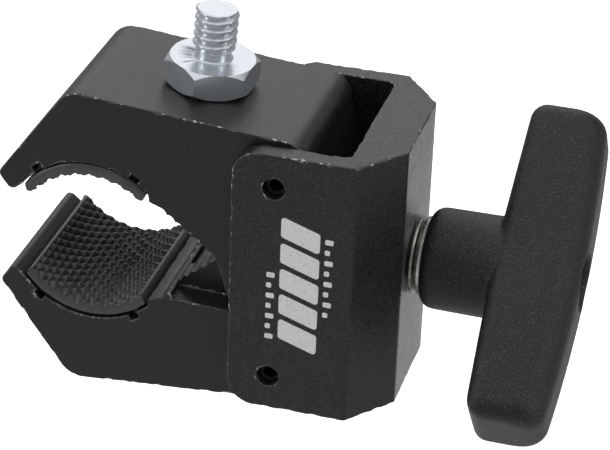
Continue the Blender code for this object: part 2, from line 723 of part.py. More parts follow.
def stud(parent):
    """Turn the hexagon stud with its threaded end and its shank in the jaw."""
    bottom = JAW_BACK_Z + GAP
    top = bottom + HEX_HEIGHT
    across = HEX_FLATS / math.cos(math.pi / 6)
    body = cylinder("stud", across, HEX_HEIGHT, "Z", (0, 0, bottom + HEX_HEIGHT / 2), 6)
    corner = across / 2
    flat = HEX_FLATS / 2
    lathe = turned("hex_chamfer", [
        (top, 0.0),
        (top, flat - HEX_CHAMFER / 2),
        (top - HEX_CHAMFER, corner),
        (bottom + HEX_CHAMFER, corner),
        (bottom, flat - HEX_CHAMFER / 2),
        (bottom, 0.0),
    ], 36)
    screw = turned("stud_thread", [
        (top + NECK_LENGTH + THREAD_LENGTH, 0.0),
        (top + NECK_LENGTH + THREAD_LENGTH, THREAD_D / 2 - THREAD_CHAMFER),
        (top + NECK_LENGTH + THREAD_LENGTH - THREAD_CHAMFER, THREAD_D / 2),
        (top + NECK_LENGTH, THREAD_D / 2),
        (top + NECK_LENGTH, NECK_D / 2),
        (top - GAP, NECK_D / 2),
        (top - GAP, 0.0),
    ])
    shank = cylinder("stud_shank", SHANK_D, SHANK_LENGTH + GAP, "Z",
                     (0, 0, bottom - (SHANK_LENGTH - GAP) / 2))
    for solid in (lathe, screw):
        for vert in solid.data.vertices:
            vert.co = (-vert.co.z, vert.co.y, vert.co.x)
    for vert in body.data.vertices:
        x, y = vert.co.x, vert.co.y
        turn = HEX_TURN - math.pi / 2
        vert.co.x = x * math.cos(turn) - y * math.sin(turn)
        vert.co.y = x * math.sin(turn) + y * math.cos(turn)
    boolean(body, lathe, "INTERSECT")
    boolean(body, screw, "UNION")
    boolean(body, shank, "UNION")
    body.location = (STUD_X, 0, 0)
    return as_part(body, "stud", ZINC, parent)


def build():
    """Make every piece in its place."""
    upper = joint_empty("upper_pivot", (GRIP_TO_PIVOT, 0, PIVOT_RISE), (0, OPEN_ANGLE, 0))
    lower = joint_empty("lower_pivot", (GRIP_TO_PIVOT, 0, -PIVOT_RISE),
                        (math.pi, -OPEN_ANGLE, 0))
    axis = joint_empty("spindle_axis", (0, 0, 0), (-HANDLE_TURN, 0, 0))
    yoke()
    jaw("upper_jaw", upper, with_stud=True)
    jaw("lower_jaw", lower, with_stud=False)
    pad("upper_pad", upper)
    pad("lower_pad", lower)
    pivot_pin("upper_pivot_pin", 1)
    pivot_pin("lower_pivot_pin", -1)
    barrel_nut()
    spindle(axis)
    end_clip(axis)
    at = spindle_places()
    washer("inner_thrust_washer", at["collar_back"] + GAP, SPINDLE_D + 2 * RUN, COLLAR_D,
           WASHER_THICKNESS, STEEL, axis)
    washer("outer_thrust_washer", YOKE_BACK_X + GAP, SPINDLE_D + 2 * RUN, WASHER_D,
           WASHER_THICKNESS, STEEL, axis)
    handle_insert(axis)
    t_handle(axis)
    washer("screw_lock_washer", at["insert_back"] + GAP, SCREW_D + 2 * RUN, LOCK_WASHER_D,
           LOCK_WASHER_THICKNESS, SPRING_STEEL, axis)
    handle_screw(axis)
    stud(upper)


build()
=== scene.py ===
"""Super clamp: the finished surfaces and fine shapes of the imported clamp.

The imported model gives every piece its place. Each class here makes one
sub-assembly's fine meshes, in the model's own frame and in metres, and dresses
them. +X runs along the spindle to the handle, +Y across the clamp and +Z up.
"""
import json
import logging
import math
from dataclasses import dataclass, field
from enum import Enum

import bmesh
import bpy
from mathutils import Matrix, Vector, noise


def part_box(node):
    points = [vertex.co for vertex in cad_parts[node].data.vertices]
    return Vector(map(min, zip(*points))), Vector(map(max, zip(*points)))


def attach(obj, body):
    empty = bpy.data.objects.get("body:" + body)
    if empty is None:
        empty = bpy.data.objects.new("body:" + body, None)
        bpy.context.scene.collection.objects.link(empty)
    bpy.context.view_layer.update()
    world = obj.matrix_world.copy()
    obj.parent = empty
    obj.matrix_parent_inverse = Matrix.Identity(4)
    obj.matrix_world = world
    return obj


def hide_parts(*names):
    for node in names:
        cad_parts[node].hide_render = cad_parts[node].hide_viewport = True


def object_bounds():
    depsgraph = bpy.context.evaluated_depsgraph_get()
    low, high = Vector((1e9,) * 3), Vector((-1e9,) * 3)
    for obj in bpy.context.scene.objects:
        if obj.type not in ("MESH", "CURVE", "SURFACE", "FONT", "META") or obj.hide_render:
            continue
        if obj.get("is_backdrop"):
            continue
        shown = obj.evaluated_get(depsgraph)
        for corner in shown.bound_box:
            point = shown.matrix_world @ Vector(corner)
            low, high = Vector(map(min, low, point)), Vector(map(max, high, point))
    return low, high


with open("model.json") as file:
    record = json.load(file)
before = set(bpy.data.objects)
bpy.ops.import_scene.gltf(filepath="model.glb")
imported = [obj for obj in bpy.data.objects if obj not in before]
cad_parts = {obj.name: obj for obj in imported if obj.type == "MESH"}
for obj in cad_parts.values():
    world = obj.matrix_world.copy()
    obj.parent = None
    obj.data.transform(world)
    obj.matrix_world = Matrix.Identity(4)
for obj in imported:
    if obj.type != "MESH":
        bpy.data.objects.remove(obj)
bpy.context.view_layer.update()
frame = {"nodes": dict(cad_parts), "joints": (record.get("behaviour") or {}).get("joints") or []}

LOG = logging.getLogger("super_clamp")
MM = 0.001
SHARP = math.radians(26.0)      # edges turning more than this are edges, not curves
SMOOTH = math.radians(35.0)
MERGE = 0.01 * MM
WELD = 0.06 * MM                # corners nearer than this are one before the edges break
CHIP_SLOPE = 0.45               # how fast a broken edge may widen along itself
CHIP_PITCH = 1.1 / MM           # how closely chips follow each other
CHIP_FROM = 0.12                # the noise above which an edge is chipped
CHIP_GAIN = 1.9
SLOW_WEAR = 0.4                 # the plain wear's pitch against the chips'
LEAST_WEAR = 0.12
USUAL_WEAR = 0.3
WEAR_SWING = 0.14
ROOM_SHARE = 0.4                # of a sharp edge that a break at its end may take

Point = tuple[float, float]
Colour = tuple[float, float, float]


class Axis(Enum):
    """Which way a prism or a turned shape runs."""

    X = "X"
    Y = "Y"
    Z = "Z"


class Texture(Enum):
    """The noise patterns that the finishes use."""

    GRAIN = "ShaderNodeTexNoise"
    CELLS = "ShaderNodeTexVoronoi"


# ---------------------------------------------------------------- shader maths


class Value:
    """A node's output that takes part in arithmetic."""

    def __init__(self, tree: bpy.types.NodeTree, socket: bpy.types.NodeSocket) -> None:
        """Wrap one output socket of a tree."""
        self.tree = tree
        self.socket = socket

    def math(self, operation: str, *others: "Value | float", flip: bool = False) -> "Value":
        """Add one Math node.

        Args:
            operation: the Math node's operation.
            others: its other operands.
            flip: put this value second instead of first.

        Returns:
            The node's result.
        """
        made = self.tree.nodes.new("ShaderNodeMath")
        made.operation = operation
        operands = [self, *others]
        if flip:
            operands.reverse()
        for place, operand in zip(made.inputs, operands):
            if isinstance(operand, Value):
                self.tree.links.new(operand.socket, place)
            else:
                place.default_value = operand
        return Value(self.tree, made.outputs[0])

    def __add__(self, other: "Value | float") -> "Value":
        """Add."""
        return self.math("ADD", other)

    def __radd__(self, other: float) -> "Value":
        """Add to a number."""
        return self.math("ADD", other)

    def __sub__(self, other: "Value | float") -> "Value":
        """Subtract."""
        return self.math("SUBTRACT", other)

    def __rsub__(self, other: float) -> "Value":
        """Subtract from a number."""
        return self.math("SUBTRACT", other, flip=True)

    def __mul__(self, other: "Value | float") -> "Value":
        """Multiply."""
        return self.math("MULTIPLY", other)

    def __rmul__(self, other: float) -> "Value":
        """Multiply a number."""
        return self.math("MULTIPLY", other)

    def __abs__(self) -> "Value":
        """Drop the sign."""
        return self.math("ABSOLUTE")

    def step(self, low: float, high: float) -> "Value":
        """Rise smoothly from 0 at low to 1 at high.

        Args:
            low: the value that gives 0.
            high: the value that gives 1.

        Returns:
            The risen value, clamped.
        """
        made = self.tree.nodes.new("ShaderNodeMapRange")
        made.interpolation_type = "SMOOTHSTEP"
        self.tree.links.new(self.socket, made.inputs["Value"])
        made.inputs["From Min"].default_value = low
        made.inputs["From Max"].default_value = high
        return Value(self.tree, made.outputs["Result"])


class Recipe:
    """Builds one material's nodes around its Principled shader."""

    def __init__(self, name: str) -> None:
        """Start a material of that name."""
        self.material = bpy.data.materials.new(name)
        self.material.use_nodes = True
        self.tree = self.material.node_tree
        self.shader = self.tree.nodes["Principled BSDF"]

    def node(self, kind: str, settings: dict | None = None, inputs: dict | None = None,
             output: int | str = 0) -> Value:
        """Add any node.

        Args:
            kind: the node's type.
            settings: its properties, set first.
            inputs: values or links, by socket name or number.
            output: which output to give back.

        Returns:
            That output.
        """
        made = self.tree.nodes.new(kind)
        for name, setting in (settings or {}).items():
            setattr(made, name, setting)
        for name, given in (inputs or {}).items():
            if isinstance(given, Value):
                self.tree.links.new(given.socket, made.inputs[name])
            else:
                made.inputs[name].default_value = given
        return Value(self.tree, made.outputs[output])

    def place(self, stretch: tuple[float, float, float] = (1.0, 1.0, 1.0),
              turn: tuple[float, float, float] = (0.0, 0.0, 0.0)) -> Value:
        """Give the surface point in millimetres, turned and then stretched.

        Args:
            stretch: factors along the turned axes.
            turn: rotation of the pattern's axes, in radians.

        Returns:
            The point as a vector.
        """
        point = self.node("ShaderNodeTexCoord", output="Object")
        scale = tuple(factor / MM for factor in stretch)
        turned = self.node("ShaderNodeMapping", {"vector_type": "POINT"},
                           {"Vector": point, "Rotation": turn})
        return self.node("ShaderNodeVectorMath", {"operation": "MULTIPLY"},
                         {0: turned, 1: scale})

    def facing(self, axis: Axis) -> Value:
        """Tell how squarely the surface faces an axis, 0 to 1."""
        normal = self.node("ShaderNodeTexCoord", output="Normal")
        return abs(self.node("ShaderNodeSeparateXYZ", inputs={0: normal}, output=axis.value))

    def pattern(self, kind: Texture, scale: float, detail: float = 2.0,
                where: Value | None = None) -> Value:
        """Add a noise pattern.

        Args:
            kind: grain or cells.
            scale: features to the millimetre.
            detail: octaves of the grain.
            where: the point to read it at; the plain surface point if left out.

        Returns:
            The pattern, about 0 to 1.
        """
        where = where or self.place()
        if kind is Texture.CELLS:
            return self.node(kind.value, inputs={"Vector": where, "Scale": scale},
                             output="Distance")
        return self.node(kind.value, inputs={"Vector": where, "Scale": scale,
                                             "Detail": detail, "Roughness": 0.55})

    def blend(self, factor: Value | float, first: Colour | Value,
              second: Colour | Value) -> Value:
        """Mix two colours.

        Args:
            factor: 0 for the first, 1 for the second.
            first: a colour or a colour link.
            second: the other one.

        Returns:
            The mixed colour.
        """
        made = self.tree.nodes.new("ShaderNodeMix")
        made.data_type = "RGBA"
        places = (made.inputs[0], made.inputs[6], made.inputs[7])
        for place, given in zip(places, (factor, first, second)):
            if isinstance(given, Value):
                self.tree.links.new(given.socket, place)
            elif isinstance(given, tuple):
                place.default_value = (*given, 1.0)
            else:
                place.default_value = given
        return Value(self.tree, made.outputs[2])

    def bump(self, height: Value, strength: float, reach: float) -> Value:
        """Turn a height into a normal.

        Args:
            height: the pattern, about 0 to 1.
            strength: how much it tells.
            reach: the height of 1, in metres.

        Returns:
            The bumped normal.
        """
        return self.node("ShaderNodeBump", inputs={"Strength": strength, "Distance": reach,
                                                   "Height": height})

    def surface(self, **sockets: "Value | float | Colour") -> bpy.types.Material:
        """Fill the Principled shader's sockets.

        Args:
            sockets: values by socket name, with _ for a space.

        Returns:
            The finished material.
        """
        for name, given in sockets.items():
            place = self.shader.inputs[name.replace("_", " ")]
            if isinstance(given, Value):
                self.tree.links.new(given.socket, place)
            elif isinstance(given, tuple):
                place.default_value = (*given, 1.0)
            else:
                place.default_value = given
        return self.material


# --------------------------------------------------------------------- finishes


@dataclass(frozen=True)
class BlackExtrusion:
    """Black finished aluminium: blasted extruded faces and saw-cut ends."""

    name: str
    cut_axis: Axis                      # the ends face along this axis
    saw_turn: tuple[float, float, float] = (0.0, 0.0, 0.0)
    colour: Colour = (0.008, 0.008, 0.0082)
    cut_colour: Colour = (0.008, 0.008, 0.0085)
    grey: Colour = (0.062, 0.062, 0.063)
    polish: float = 0.3
    dust: Colour = (0.16, 0.16, 0.15)

    def make(self) -> bpy.types.Material:
        """Make the material."""
        recipe = Recipe(self.name)
        cut = recipe.facing(self.cut_axis).step(0.86, 0.97)
        grain = recipe.pattern(Texture.GRAIN, 4.2, 3.0)
        coarse = recipe.pattern(Texture.GRAIN, 0.35, 2.0)
        sawn = recipe.place((14.0, 0.35, 0.35), self.saw_turn)
        lines = recipe.pattern(Texture.GRAIN, 1.0, 3.0, sawn)
        specks = recipe.pattern(Texture.GRAIN, 3.1, 1.0).step(0.735, 0.78)
        patches = recipe.pattern(Texture.GRAIN, 0.22, 1.0).step(0.45, 0.65)
        dusty = specks * patches
        plain = recipe.blend(cut, self.colour, self.cut_colour)
        mottle = (0.25 + 0.45 * coarse) * grain.step(0.36, 0.68) * (1 - 0.45 * cut)
        shade = recipe.blend(mottle, plain, self.grey)
        colour = recipe.blend(dusty, shade, self.dust)
        height = (1 - cut) * grain + 0.8 * cut * lines + 0.25 * cut * grain
        rough = self.polish + 0.12 * (grain - 0.5) + 0.06 * coarse
        return recipe.surface(Base_Color=colour, Roughness=rough, Metallic=0.0,
                              Specular_IOR_Level=0.5,
                              Normal=recipe.bump(height, 0.55, 0.08 * MM))


@dataclass(frozen=True)
class WornEdge:
    """The broken edges of the black extrusions, with bare metal showing in specks."""

    name: str = "worn_edge"
    colour: Colour = (0.055, 0.055, 0.056)
    bare: Colour = (0.62, 0.61, 0.6)

    def make(self) -> bpy.types.Material:
        """Make the material."""
        recipe = Recipe(self.name)
        chips = recipe.pattern(Texture.GRAIN, 1.5, 3.0).step(0.56, 0.68)
        grain = recipe.pattern(Texture.GRAIN, 7.0, 2.0)
        return recipe.surface(
            Base_Color=recipe.blend(chips, self.colour, self.bare),
            Metallic=0.85 * chips,
            Roughness=0.36 + 0.2 * grain,
            Normal=recipe.bump(grain, 0.35, 0.05 * MM))


@dataclass(frozen=True)
class PadRubber:
    """Moulded black rubber, dulled in patches by dust across its tread."""

    name: str = "tread_rubber"
    colour: Colour = (0.018, 0.018, 0.021)
    dusty: Colour = (0.075, 0.075, 0.082)
    lint: Colour = (0.2, 0.2, 0.21)

    def make(self) -> bpy.types.Material:
        """Make the material."""
        recipe = Recipe(self.name)
        film = recipe.pattern(Texture.GRAIN, 0.3, 3.0)
        skin = recipe.pattern(Texture.GRAIN, 6.0, 2.0)
        lint = recipe.pattern(Texture.GRAIN, 2.2, 1.0).step(0.74, 0.79)
        colour = recipe.blend(lint, recipe.blend(film, self.colour, self.dusty), self.lint)
        return recipe.surface(Base_Color=colour, Roughness=0.28 + 0.15 * film + 0.1 * skin,
                              Specular_IOR_Level=0.85,
                              Normal=recipe.bump(skin, 0.3, 0.03 * MM))


@dataclass(frozen=True)
class BrightZinc:
    """Bright bluish zinc plate with a faint clouding and handling marks."""

    name: str = "zinc_plate"
    blue: Colour = (0.64, 0.70, 0.77)
    warm: Colour = (0.72, 0.74, 0.75)
    pit: Colour = (0.12, 0.13, 0.15)

    def make(self) -> bpy.types.Material:
        """Make the material."""
        recipe = Recipe(self.name)
        cloud = recipe.pattern(Texture.GRAIN, 0.45, 3.0)
        fine = recipe.pattern(Texture.GRAIN, 5.0, 2.0)
        pits = recipe.pattern(Texture.GRAIN, 1.7, 1.0).step(0.75, 0.79)
        tint = recipe.blend(cloud, self.blue, self.warm)
        return recipe.surface(
            Base_Color=recipe.blend(pits, tint, self.pit), Metallic=0.82,
            Roughness=0.2 + 0.1 * fine + 0.1 * cloud,
            Normal=recipe.bump(fine, 0.12, 0.02 * MM))


@dataclass(frozen=True)
class TurnedSteel:
    """Plain turned steel with the tool's rings about X and an oily film."""

    name: str
    colour: Colour = (0.62, 0.6, 0.56)
    film: Colour = (0.26, 0.25, 0.225)
    shine: float = 0.24

    def make(self) -> bpy.types.Material:
        """Make the material."""
        recipe = Recipe(self.name)
        rings = recipe.pattern(Texture.GRAIN, 1.0, 3.0, recipe.place((9.0, 0.3, 0.3)))
        film = recipe.pattern(Texture.GRAIN, 0.8, 3.0).step(0.42, 0.68)
        fine = recipe.pattern(Texture.GRAIN, 8.0, 1.0)
        return recipe.surface(
            Base_Color=recipe.blend(film, self.colour, self.film), Metallic=1.0,
            Roughness=self.shine + 0.14 * rings + 0.1 * film,
            Normal=recipe.bump(rings + 0.2 * fine, 0.3, 0.05 * MM))


@dataclass(frozen=True)
class BlackOxide:
    """Oiled black oxide on spring steel, a little rubbed."""

    name: str = "black_oxide"
    colour: Colour = (0.018, 0.018, 0.021)
    rubbed: Colour = (0.14, 0.135, 0.13)

    def make(self) -> bpy.types.Material:
        """Make the material."""
        recipe = Recipe(self.name)
        rub = recipe.pattern(Texture.GRAIN, 1.2, 3.0).step(0.52, 0.75)
        fine = recipe.pattern(Texture.GRAIN, 8.0, 2.0)
        return recipe.surface(Base_Color=recipe.blend(rub, self.colour, self.rubbed),
                              Metallic=0.7, Roughness=0.34 + 0.15 * fine,
                              Normal=recipe.bump(fine, 0.25, 0.03 * MM))


@dataclass(frozen=True)
class MouldedBlack:
    """Black glass-filled moulding with a spark-eroded texture and tiny bright specks of painted
    glint.
    """

    name: str = "spark_texture"
    colour: Colour = (0.004, 0.004, 0.005)
    crest: Colour = (0.045, 0.045, 0.054)
    # colour of the tiny bright specks: a painted glint, light caught on the grain painted into
    # the colour
    painted_glint: Colour = (0.2, 0.2, 0.21)

    def make(self) -> bpy.types.Material:
        """Make the material."""
        recipe = Recipe(self.name)
        sparks = recipe.pattern(Texture.GRAIN, 4.2, 2.0)
        cells = recipe.pattern(Texture.CELLS, 3.0)
        cloud = recipe.pattern(Texture.GRAIN, 0.12, 2.0)
        # tiny bright specks of painted glint, standing in for light sparkling on the spark
        # texture
        specks = recipe.pattern(Texture.GRAIN, 2.6, 1.0).step(0.77, 0.81)
        crest = sparks.step(0.5, 0.72)
        colour = recipe.blend(specks, recipe.blend(crest, self.colour, self.crest), self.painted_glint)
        height = 0.75 * sparks + 0.35 * (1 - cells)
        return recipe.surface(Base_Color=colour, Roughness=0.4 + 0.12 * cloud - 0.08 * crest,
                              Specular_IOR_Level=0.5,
                              Normal=recipe.bump(height, 0.7, 0.2 * MM))


@dataclass(frozen=True)
class PrintedWhite:
    """White pad-printed ink, thin and slightly speckled."""

    name: str = "printed_white"
    colour: Colour = (0.9, 0.9, 0.89)
    thin: Colour = (0.62, 0.62, 0.61)

    def make(self) -> bpy.types.Material:
        """Make the material."""
        recipe = Recipe(self.name)
        specks = recipe.pattern(Texture.GRAIN, 4.0, 2.0).step(0.5, 0.72)
        cloud = recipe.pattern(Texture.GRAIN, 0.5, 1.0)
        return recipe.surface(
            Base_Color=recipe.blend(0.7 * specks, self.colour, self.thin),
            Roughness=0.5 + 0.1 * cloud, Normal=recipe.bump(specks, 0.1, 0.02 * MM))


@dataclass(frozen=True)
class StudioPaper:
    """Pale background paper."""

    name: str = "studio_paper"
    colour: Colour = (0.9, 0.9, 0.9)

    def make(self) -> bpy.types.Material:
        """Make the material."""
        recipe = Recipe(self.name)
        fibre = recipe.pattern(Texture.GRAIN, 0.05, 2.0)
        return recipe.surface(Base_Color=self.colour, Roughness=0.75 + 0.1 * fibre)


# --------------------------------------------------------------------- outlines


def arc(centre: Point, radius: float, start: float, end: float, steps: int) -> list[Point]:
    """List points along an arc, both ends included.

    Args:
        centre: the arc's centre.
        radius: its radius.
        start: its first angle, in radians.
        end: its last angle.
        steps: how many chords.

    Returns:
        The points.
    """
    turn = (end - start) / steps
    return [(centre[0] + radius * math.cos(start + turn * step),
             centre[1] + radius * math.sin(start + turn * step)) for step in range(steps + 1)]


def rounded(before: Point, corner: Point, after: Point, radius: float,
            steps: int = 10) -> list[Point]:
    """List the arc that rounds one corner of an outline.

    Args:
        before: the corner before it.
        corner: the corner.
        after: the corner after it.
        radius: the arc's radius.
        steps: how many chords.

    Returns:
        The arc's points.
    """
    here = Vector(corner)
    first = (Vector(before) - here).normalized()
    last = (Vector(after) - here).normalized()
    half = first.angle(last) / 2
    centre = here + (first + last).normalized() * (radius / math.sin(half))
    reach = radius / math.tan(half)
    start = first * reach + here - centre
    end = last * reach + here - centre
    begin = math.atan2(start.y, start.x)
    turn = (math.atan2(end.y, end.x) - begin + math.pi) % (2 * math.pi) - math.pi
    return arc((centre.x, centre.y), radius, begin, begin + turn, steps)


def round_outline(corners: list[tuple[float, float, float]], steps: int = 10) -> list[Point]:
    """Round the corners of an outline.

    Args:
        corners: x, y and radius of each corner.
        steps: how many chords for each arc.

    Returns:
        The outline's points.
    """
    points: list[Point] = []
    for index, (x, y, radius) in enumerate(corners):
        if radius == 0:
            points.append((x, y))
            continue
        before = corners[index - 1][:2]
        after = corners[(index + 1) % len(corners)][:2]
        points.extend(rounded(before, (x, y), after, radius, steps))
    return points


# ------------------------------------------------------------------ mesh making


class Bench:
    """Makes, cuts and finishes solids as mesh objects."""

    @staticmethod
    def from_shape(name: str, shape: bmesh.types.BMesh) -> bpy.types.Object:
        """Turn a finished bmesh into an object.

        Args:
            name: the object's name.
            shape: the bmesh, which is freed.

        Returns:
            The object, in the scene.
        """
        bmesh.ops.recalc_face_normals(shape, faces=shape.faces)
        mesh = bpy.data.meshes.new(name)
        shape.to_mesh(mesh)
        shape.free()
        made = bpy.data.objects.new(name, mesh)
        bpy.context.scene.collection.objects.link(made)
        return made

    @staticmethod
    def prism(name: str, outline: list[Point], low: float, high: float,
              axis: Axis = Axis.Z) -> bpy.types.Object:
        """Extrude an outline.

        Args:
            name: the object's name.
            outline: its points; (x, y) for Z, (x, z) for Y and (y, z) for X.
            low: where it starts along the axis.
            high: where it ends.
            axis: the axis it runs along.

        Returns:
            The solid.
        """
        def at(point: Point, along: float) -> Point:
            """Put a flat point in space."""
            places = {Axis.Z: (point[0], point[1], along), Axis.Y: (point[0], along, point[1]),
                      Axis.X: (along, point[0], point[1])}
            return places[axis]
        shape = bmesh.new()
        face = shape.faces.new([shape.verts.new(at(point, low)) for point in outline])
        grown = bmesh.ops.extrude_face_region(shape, geom=[face])["geom"]
        tops = [item for item in grown if isinstance(item, bmesh.types.BMVert)]
        bmesh.ops.translate(shape, verts=tops, vec=Vector(at((0.0, 0.0), high - low)))
        return Bench.from_shape(name, shape)

    @staticmethod
    def rod(name: str, diameter: float, low: float, high: float, axis: Axis,
            centre: Point = (0.0, 0.0), steps: int = 48) -> bpy.types.Object:
        """Make a round bar, as a cutter."""
        outline = arc(centre, diameter / 2, 0.0, 2 * math.pi, steps)[:-1]
        return Bench.prism(name, outline, low, high, axis)

    @staticmethod
    def turned(name: str, profile: list[Point], steps: int = 64) -> bpy.types.Object:
        """Turn an open or closed profile about the X axis.

        Args:
            name: the object's name.
            profile: points (along, radius); a point on the axis has radius 0.
            steps: chords to the full turn.

        Returns:
            The solid.
        """
        shape = bmesh.new()
        points = [shape.verts.new((along, radius, 0.0)) for along, radius in profile]
        edges = [shape.edges.new(pair) for pair in zip(points, points[1:])]
        bmesh.ops.spin(shape, geom=points + edges, cent=(0, 0, 0), axis=(1, 0, 0),
                       angle=2 * math.pi, steps=steps, use_merge=True)
        bmesh.ops.remove_doubles(shape, verts=shape.verts, dist=MERGE)
        return Bench.from_shape(name, shape)

    @staticmethod
    def grid(name: str, rows: list[list[Vector]], wrap: bool = True,
             caps: bool = True) -> bpy.types.Object:
        """Skin rows of points.

        Args:
            name: the object's name.
            rows: point rows of equal length.
            wrap: join each row's last point to its first.
            caps: close the first and the last row with a face.

        Returns:
            The skinned solid.
        """
        shape = bmesh.new()
        made = [[shape.verts.new(point) for point in row] for row in rows]
        count = len(rows[0])
        for near, far in zip(made, made[1:]):
            for index in range(count if wrap else count - 1):
                after = (index + 1) % count
                shape.faces.new((near[index], near[after], far[after], far[index]))
        if caps:
            shape.faces.new(made[0])
            shape.faces.new(list(reversed(made[-1])))
        return Bench.from_shape(name, shape)

    @staticmethod
    def strips(name: str, rows: list[list[Vector]]) -> bpy.types.Object:
        """Skin rows whose second half runs back beneath the first, with quads at both ends.

        Args:
            name: the object's name.
            rows: point rows of equal, even length.

        Returns:
            The skinned solid.
        """
        shape = bmesh.new()
        made = [[shape.verts.new(point) for point in row] for row in rows]
        count = len(rows[0])
        for near, far in zip(made, made[1:]):
            for index in range(count):
                after = (index + 1) % count
                shape.faces.new((near[index], near[after], far[after], far[index]))
        for row in (made[0], made[-1]):
            for index in range(count // 2 - 1):
                under = count - 1 - index
                shape.faces.new((row[index], row[index + 1], row[under - 1], row[under]))
        return Bench.from_shape(name, shape)

    @staticmethod
    def settle(obj: bpy.types.Object) -> bpy.types.Object:
        """Apply an object's modifiers to its mesh."""
        bpy.context.view_layer.update()
        graph = bpy.context.evaluated_depsgraph_get()
        mesh = bpy.data.meshes.new_from_object(obj.evaluated_get(graph))
        obj.modifiers.clear()
        obj.data = mesh
        return obj

    @staticmethod
    def combine(obj: bpy.types.Object, tools: list[bpy.types.Object],
                operation: str = "DIFFERENCE") -> bpy.types.Object:
        """Cut or join an object with others, which are used up.

        Args:
            obj: the object that changes.
            tools: the objects that cut it or join it.
            operation: a Boolean modifier's operation.

        Returns:
            The changed object.
        """
        for tool in tools:
            cut = obj.modifiers.new("cut", "BOOLEAN")
            cut.operation = operation
            cut.solver = "EXACT"
            cut.object = tool
            Bench.settle(obj)
            bpy.data.objects.remove(tool, do_unlink=True)
        return obj

    @staticmethod
    def smooth(obj: bpy.types.Object, angle: float = SMOOTH) -> bpy.types.Object:
        """Shade smooth except across sharp edges."""
        obj.data.shade_smooth()
        obj.data.set_sharp_from_angle(angle=angle)
        return obj

    @staticmethod
    def even(obj: bpy.types.Object, angle: float) -> bpy.types.Object:
        """Shade an object anew so that its large flat faces look flat.

        Args:
            obj: the object.
            angle: edges turning more than this stay sharp.

        Returns:
            The object.
        """
        kept = obj.data.attributes.get("custom_normal")
        if kept:
            obj.data.attributes.remove(kept)
        Bench.smooth(obj, angle)
        flatten = obj.modifiers.new("flatten", "WEIGHTED_NORMAL")
        flatten.keep_sharp = True
        return Bench.settle(obj)

    @staticmethod
    def bevel(obj: bpy.types.Object, width: float, segments: int = 2,
              angle: float = SHARP) -> bpy.types.Object:
        """Round an object's sharp edges evenly.

        Args:
            obj: the object.
            width: the bevel's width.
            segments: its steps.
            angle: edges turning more than this are rounded.

        Returns:
            The object, with the bevel applied.
        """
        obj.data.shade_smooth()
        edges = obj.modifiers.new("edges", "BEVEL")
        edges.width = width
        edges.segments = segments
        edges.limit_method = "ANGLE"
        edges.angle_limit = angle
        edges.harden_normals = True
        return Bench.settle(obj)

    @staticmethod
    def wear(spot: Vector, seed: float) -> float:
        """Tell how worn an edge is at a spot, 0 to 1."""
        where = spot * CHIP_PITCH + Vector((seed, 0, 0))
        chip = max(0.0, noise.noise(where) - CHIP_FROM) * CHIP_GAIN
        plain = USUAL_WEAR + WEAR_SWING * noise.noise(where * SLOW_WEAR)
        return max(LEAST_WEAR, min(1.0, plain + chip))

    @staticmethod
    def room(vert: bmesh.types.BMVert, edges: list[bmesh.types.BMEdge],
             width: float) -> float:
        """Tell how much break the sharp edges that meet at a corner leave room for.

        Args:
            vert: the corner.
            edges: the sharp edges that meet there.
            width: the widest break.

        Returns:
            The share of that width.
        """
        ways = [(edge.other_vert(vert).co - vert.co).normalized() for edge in edges]
        bend = max((math.pi - first.angle(second) for place, first in enumerate(ways)
                    for second in ways[place + 1:]), default=0.0)
        shortest = min(edge.calc_length() for edge in edges)
        return ROOM_SHARE * shortest / (width * max(0.1, math.tan(min(bend, 3.0) / 2)))

    @staticmethod
    def break_edges(obj: bpy.types.Object, width: float, seed: float,
                    piece: float = 0.5 * MM) -> bpy.types.Object:
        """Break the sharp edges unevenly, as a tumbled and knocked part has them.

        Args:
            obj: the object; its second material dresses the broken edges.
            width: the widest break.
            seed: where in the noise the chips are read.
            piece: the length between one width and the next.

        Returns:
            The object, with the edges applied.
        """
        shape = bmesh.new()
        shape.from_mesh(obj.data)
        bmesh.ops.remove_doubles(shape, verts=shape.verts, dist=WELD)
        bmesh.ops.dissolve_limit(shape, angle_limit=math.radians(0.4), verts=shape.verts,
                                 edges=shape.edges)
        weight = shape.edges.layers.float.new("bevel_weight_edge")
        sharp = [edge for edge in shape.edges
                 if len(edge.link_faces) == 2 and edge.calc_face_angle(0.0) > SHARP]
        meeting: dict[bmesh.types.BMVert, list[bmesh.types.BMEdge]] = {}
        for edge in sharp:
            for vert in edge.verts:
                meeting.setdefault(vert, []).append(edge)
        at_corner = {vert: min(Bench.wear(vert.co, seed), Bench.room(vert, edges, width))
                     for vert, edges in meeting.items()}
        for _ in range(4):
            for edge in sharp:
                here, there = edge.verts
                reach = edge.calc_length() * CHIP_SLOPE / width
                at_corner[here] = min(at_corner[here], at_corner[there] + reach)
                at_corner[there] = min(at_corner[there], at_corner[here] + reach)
        for edge in sharp:
            here, there = edge.verts
            first, last = at_corner[here], at_corner[there]
            start, end = here.co.copy(), there.co.copy()
            bits = []
            for left in range(max(2, round(edge.calc_length() / piece)), 1, -1):
                bit, here = bmesh.utils.edge_split(edge, here, 1 / left)
                bits.append(bit)
            bits.append(edge)
            for bit in bits:
                middle = (bit.verts[0].co + bit.verts[1].co) / 2
                near = first + (middle - start).length * CHIP_SLOPE / width
                far = last + (middle - end).length * CHIP_SLOPE / width
                bit[weight] = min(Bench.wear(middle, seed), near, far)
            bits[0][weight] = first
            bits[-1][weight] = last
        shape.to_mesh(obj.data)
        shape.free()
        obj.data.shade_smooth()
        edges = obj.modifiers.new("broken", "BEVEL")
        edges.width = width
        edges.segments = 2
        edges.limit_method = "WEIGHT"
        edges.use_clamp_overlap = False
        edges.harden_normals = True
        edges.material = 1
        return Bench.settle(obj)

    @staticmethod
    def dress(obj: bpy.types.Object, *materials: bpy.types.Material) -> bpy.types.Object:
        """Give an object its materials, in slot order."""
        obj.data.materials.clear()
        for material in materials:
            obj.data.materials.append(material)
        return obj

